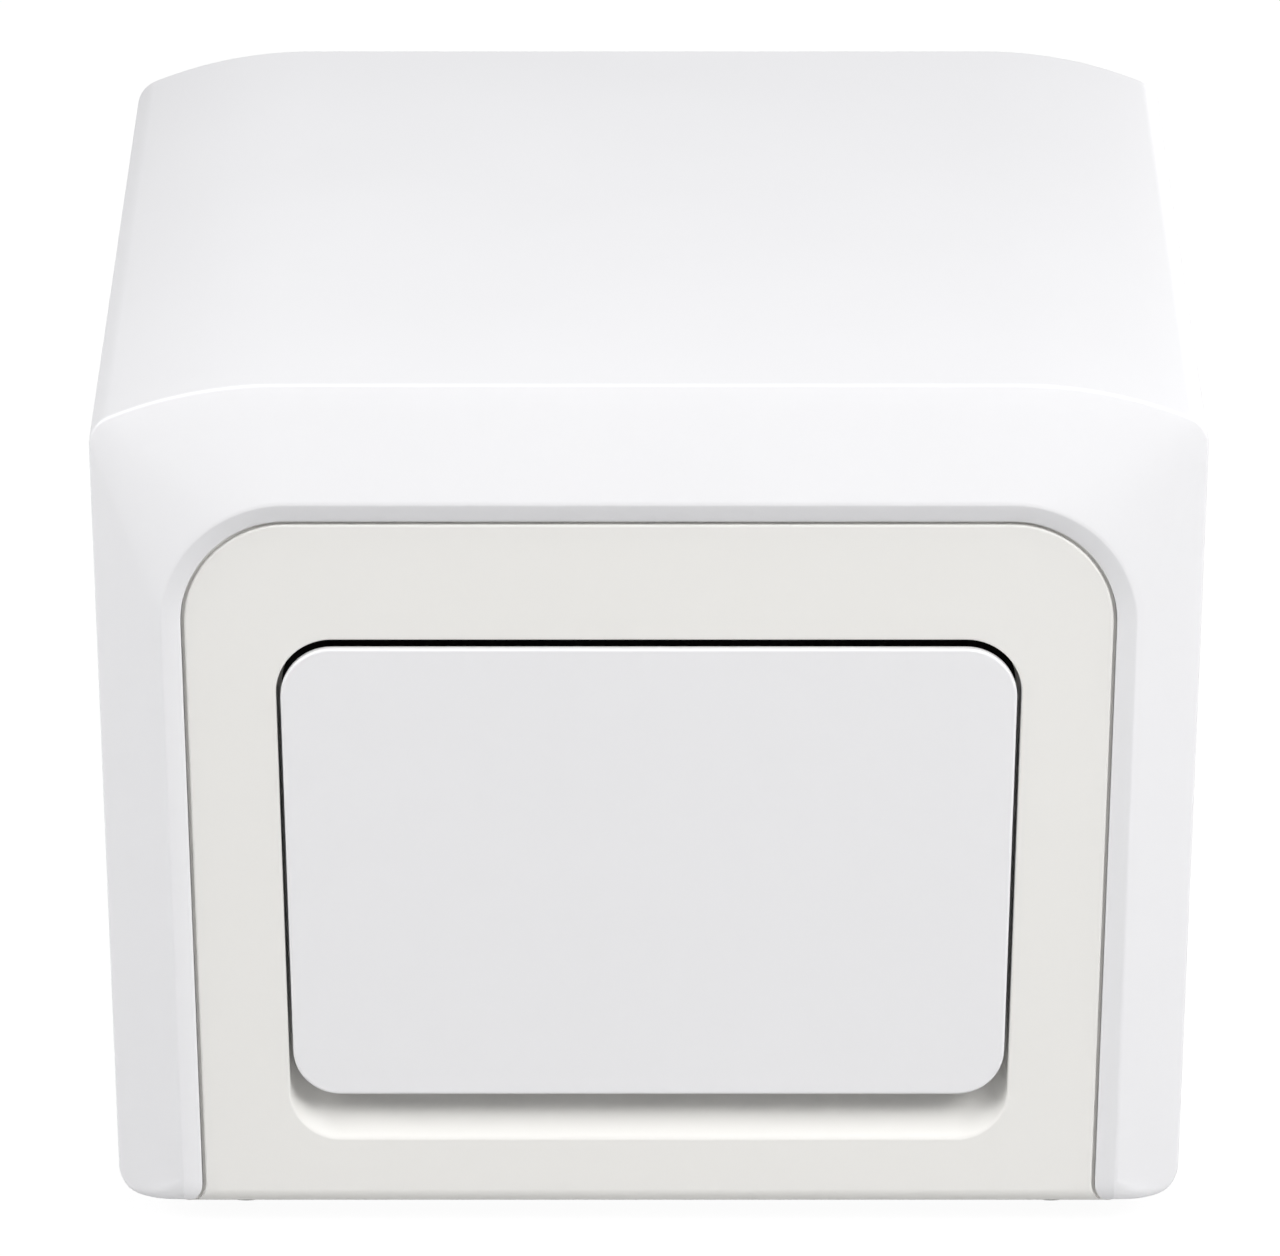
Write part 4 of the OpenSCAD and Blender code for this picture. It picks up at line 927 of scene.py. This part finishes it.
# Aluminium parts: the deck of the optics, the heat sink, the heated plate and the brackets are
# milled or extruded aluminium, with the fine lines of the cutter.
def milled_aluminium():
    material, start, place = on_piece("milled_aluminium")
    cutter = start.make("TexWave", inputs={
        "Vector": place, "Scale": 260, "Distortion": 1.2, "Detail": 2, "Detail Scale": 1.5})
    clouds = noise(start, place, 30, 3)
    return finished(material, start, clouds.colour((0.64, 0.65, 0.67), (0.78, 0.79, 0.81)),
                    0.28 + 0.1 * cutter + 0.08 * clouds, cutter, 0.00001, 0.35, 1.0)


shared(["optics_deck", "heat_sink", "heated_plate", "rod_brackets"], milled_aluminium())


# Lid carrier and scan head: milled aluminium, bead blasted and anodised black, so that no stray
# light reaches the lenses.
def anodised_black():
    material, start, place = on_piece("anodised_black")
    blast = noise(start, place, 1400, 3)
    clouds = noise(start, place, 26, 3)
    return finished(material, start, clouds.colour((0.018, 0.018, 0.02), (0.035, 0.035, 0.038)),
                    0.4 + 0.14 * blast, blast, 0.00003, 0.5, 0.45)


shared(["lid_carrier", "scan_head"], anodised_black())


# Sample block: an aluminium block with ninety-six conical wells, bead blasted and silver plated.
# It is clamped on the thermoelectric modules.
def blasted_silver():
    material, start, place = on_piece("blasted_silver")
    beads = start.make("TexVoronoi", inputs={"Vector": place, "Scale": 2200})
    tarnish = noise(start, place, 60, 4)
    return finished(material, start, tarnish.colour((0.72, 0.7, 0.66), (0.87, 0.86, 0.84)),
                    0.3 + 0.12 * tarnish + 0.08 * beads, beads, 0.00002, 0.6, 1.0)


shared(["sample_block"], blasted_silver())


# Thermoelectric modules: six flat sandwiches with faces of white fired ceramic, laid side by side
# on the heat sink.
def fired_ceramic():
    material, start, place = on_piece("fired_ceramic")
    grain = noise(start, place, 900, 4)
    return finished(material, start, grain.colour((0.72, 0.71, 0.67), (0.82, 0.81, 0.78)),
                    0.7 + 0.15 * grain, grain, 0.00003)


shared(["thermoelectric_modules"], fired_ceramic())


# Bushes: the lid and the scanner slide on bushes of sintered bronze, dark with the oil in its
# pores. They are pressed into their carriers.
def oiled_bronze():
    material, start, place = on_piece("oiled_bronze")
    pores = start.make("TexVoronoi", inputs={"Vector": place, "Scale": 1600})
    oil = noise(start, place, 130, 3)
    return finished(material, start, oil.colour((0.3, 0.17, 0.07), (0.62, 0.43, 0.2)),
                    0.3 + 0.25 * oil, pores, 0.00003, 0.6, 1.0)


shared(["lid_bushes", "scan_bushes"], oiled_bronze())


# Motors: a stepper motor for the lid's screws and one for the scanner. Black laminations show in
# the middle of each, between two bright cast end caps. Sizes in metres.
motor_body_h = 0.03
lower_cap, upper_cap = 0.22, 0.76


def stepper_motor(name):
    """Bright below one share of the motor's height and above another, black between them."""
    material, start, place = on_piece(name + "_finish")
    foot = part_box(name)[0].z
    height = start.make("SeparateXYZ", inputs={0: place}, out=2)
    above = height > foot + lower_cap * motor_body_h
    middle = above * (height < foot + upper_cap * motor_body_h)
    sheets = start.make("TexWave", {"bands_direction": "Z"}, {"Vector": place, "Scale": 420})
    casting = noise(start, place, 700, 3)
    dark = casting.colour((0.014, 0.014, 0.015), (0.03, 0.03, 0.032))
    bright = casting.colour((0.5, 0.51, 0.52), (0.66, 0.67, 0.68))
    return finished(material, start, middle.colour(bright, dark), 0.34 + 0.14 * casting,
                    middle * sheets + 0.5 * casting, 0.00006, 0.5, 1 - 0.8 * middle)


for motor in ("lid_motor", "scan_motor"):
    shared([motor], stepper_motor(motor))


# Lenses: the scanning head looks down through small lenses of ground glass with a faint blue
# coating, glued into its underside.
def coated_glass():
    material, start, place = on_piece("coated_glass")
    smears = noise(start, place, 500, 2)
    return finished(material, start, smears.colour((0.8, 0.86, 0.94), (0.9, 0.95, 1.0)),
                    0.03 + 0.03 * smears,
                    fixed={"IOR": 1.52, "Transmission Weight": 1.0, "Coat Weight": 0.4})


shared(["scan_lenses"], coated_glass())


# Circuit boards: green solder mask over fine copper tracks, black moulded chips and connectors,
# and a row of capacitors in dark sleeves with bright tops. Sizes in metres.
board_t = 0.0016
over_board = 0.0002
can_h = 0.0132
chip_cells = 0.62
capacitor_row = 0.82


def circuit_board(name):
    """Green on the board itself, and the finish of the parts on all that stands over its face."""
    material, start, place = on_piece(name + "_finish")
    low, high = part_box(name)
    across = start.make("SeparateXYZ", inputs={0: place}, out=0)
    out_x = across.maths("ABSOLUTE", across)
    height = start.make("SeparateXYZ", inputs={0: place}, out=2)
    face_x = min(abs(low.x), abs(high.x)) + board_t
    raised = out_x > face_x + over_board
    tracks = start.make("TexBrick", {"offset": 0.37, "squash": 0.6}, {
        "Vector": stretched(start, place, (1, 1, 1.6)), "Scale": 110, "Mortar Size": 0.012,
        "Color1": (0, 0, 0, 1), "Color2": (0.1, 0.1, 0.1, 1), "Mortar": (1, 1, 1, 1)})
    flecks = noise(start, place, 60, 3)
    mask = flecks.colour((0.008, 0.055, 0.026), (0.012, 0.085, 0.04))
    green = (0.55 * tracks).colour(mask, (0.05, 0.22, 0.1))
    chips = start.make("TexVoronoi", inputs={"Vector": place, "Scale": 45})
    parts = (chips > chip_cells).colour((0.015, 0.015, 0.016), (0.03, 0.03, 0.032))
    top_row = raised * (height > low.z + capacitor_row * (high.z - low.z))
    sleeves = top_row.colour(parts, (0.03, 0.04, 0.09))
    caps = (top_row * (out_x > face_x + can_h)).colour(sleeves, (0.55, 0.56, 0.58))
    return finished(material, start, raised.colour(green, caps),
                    0.32 + 0.2 * flecks + 0.12 * raised, flecks + 0.6 * tracks, 0.00004, 0.4)


for board in ("main_board", "driver_board"):
    shared([board], circuit_board(board))
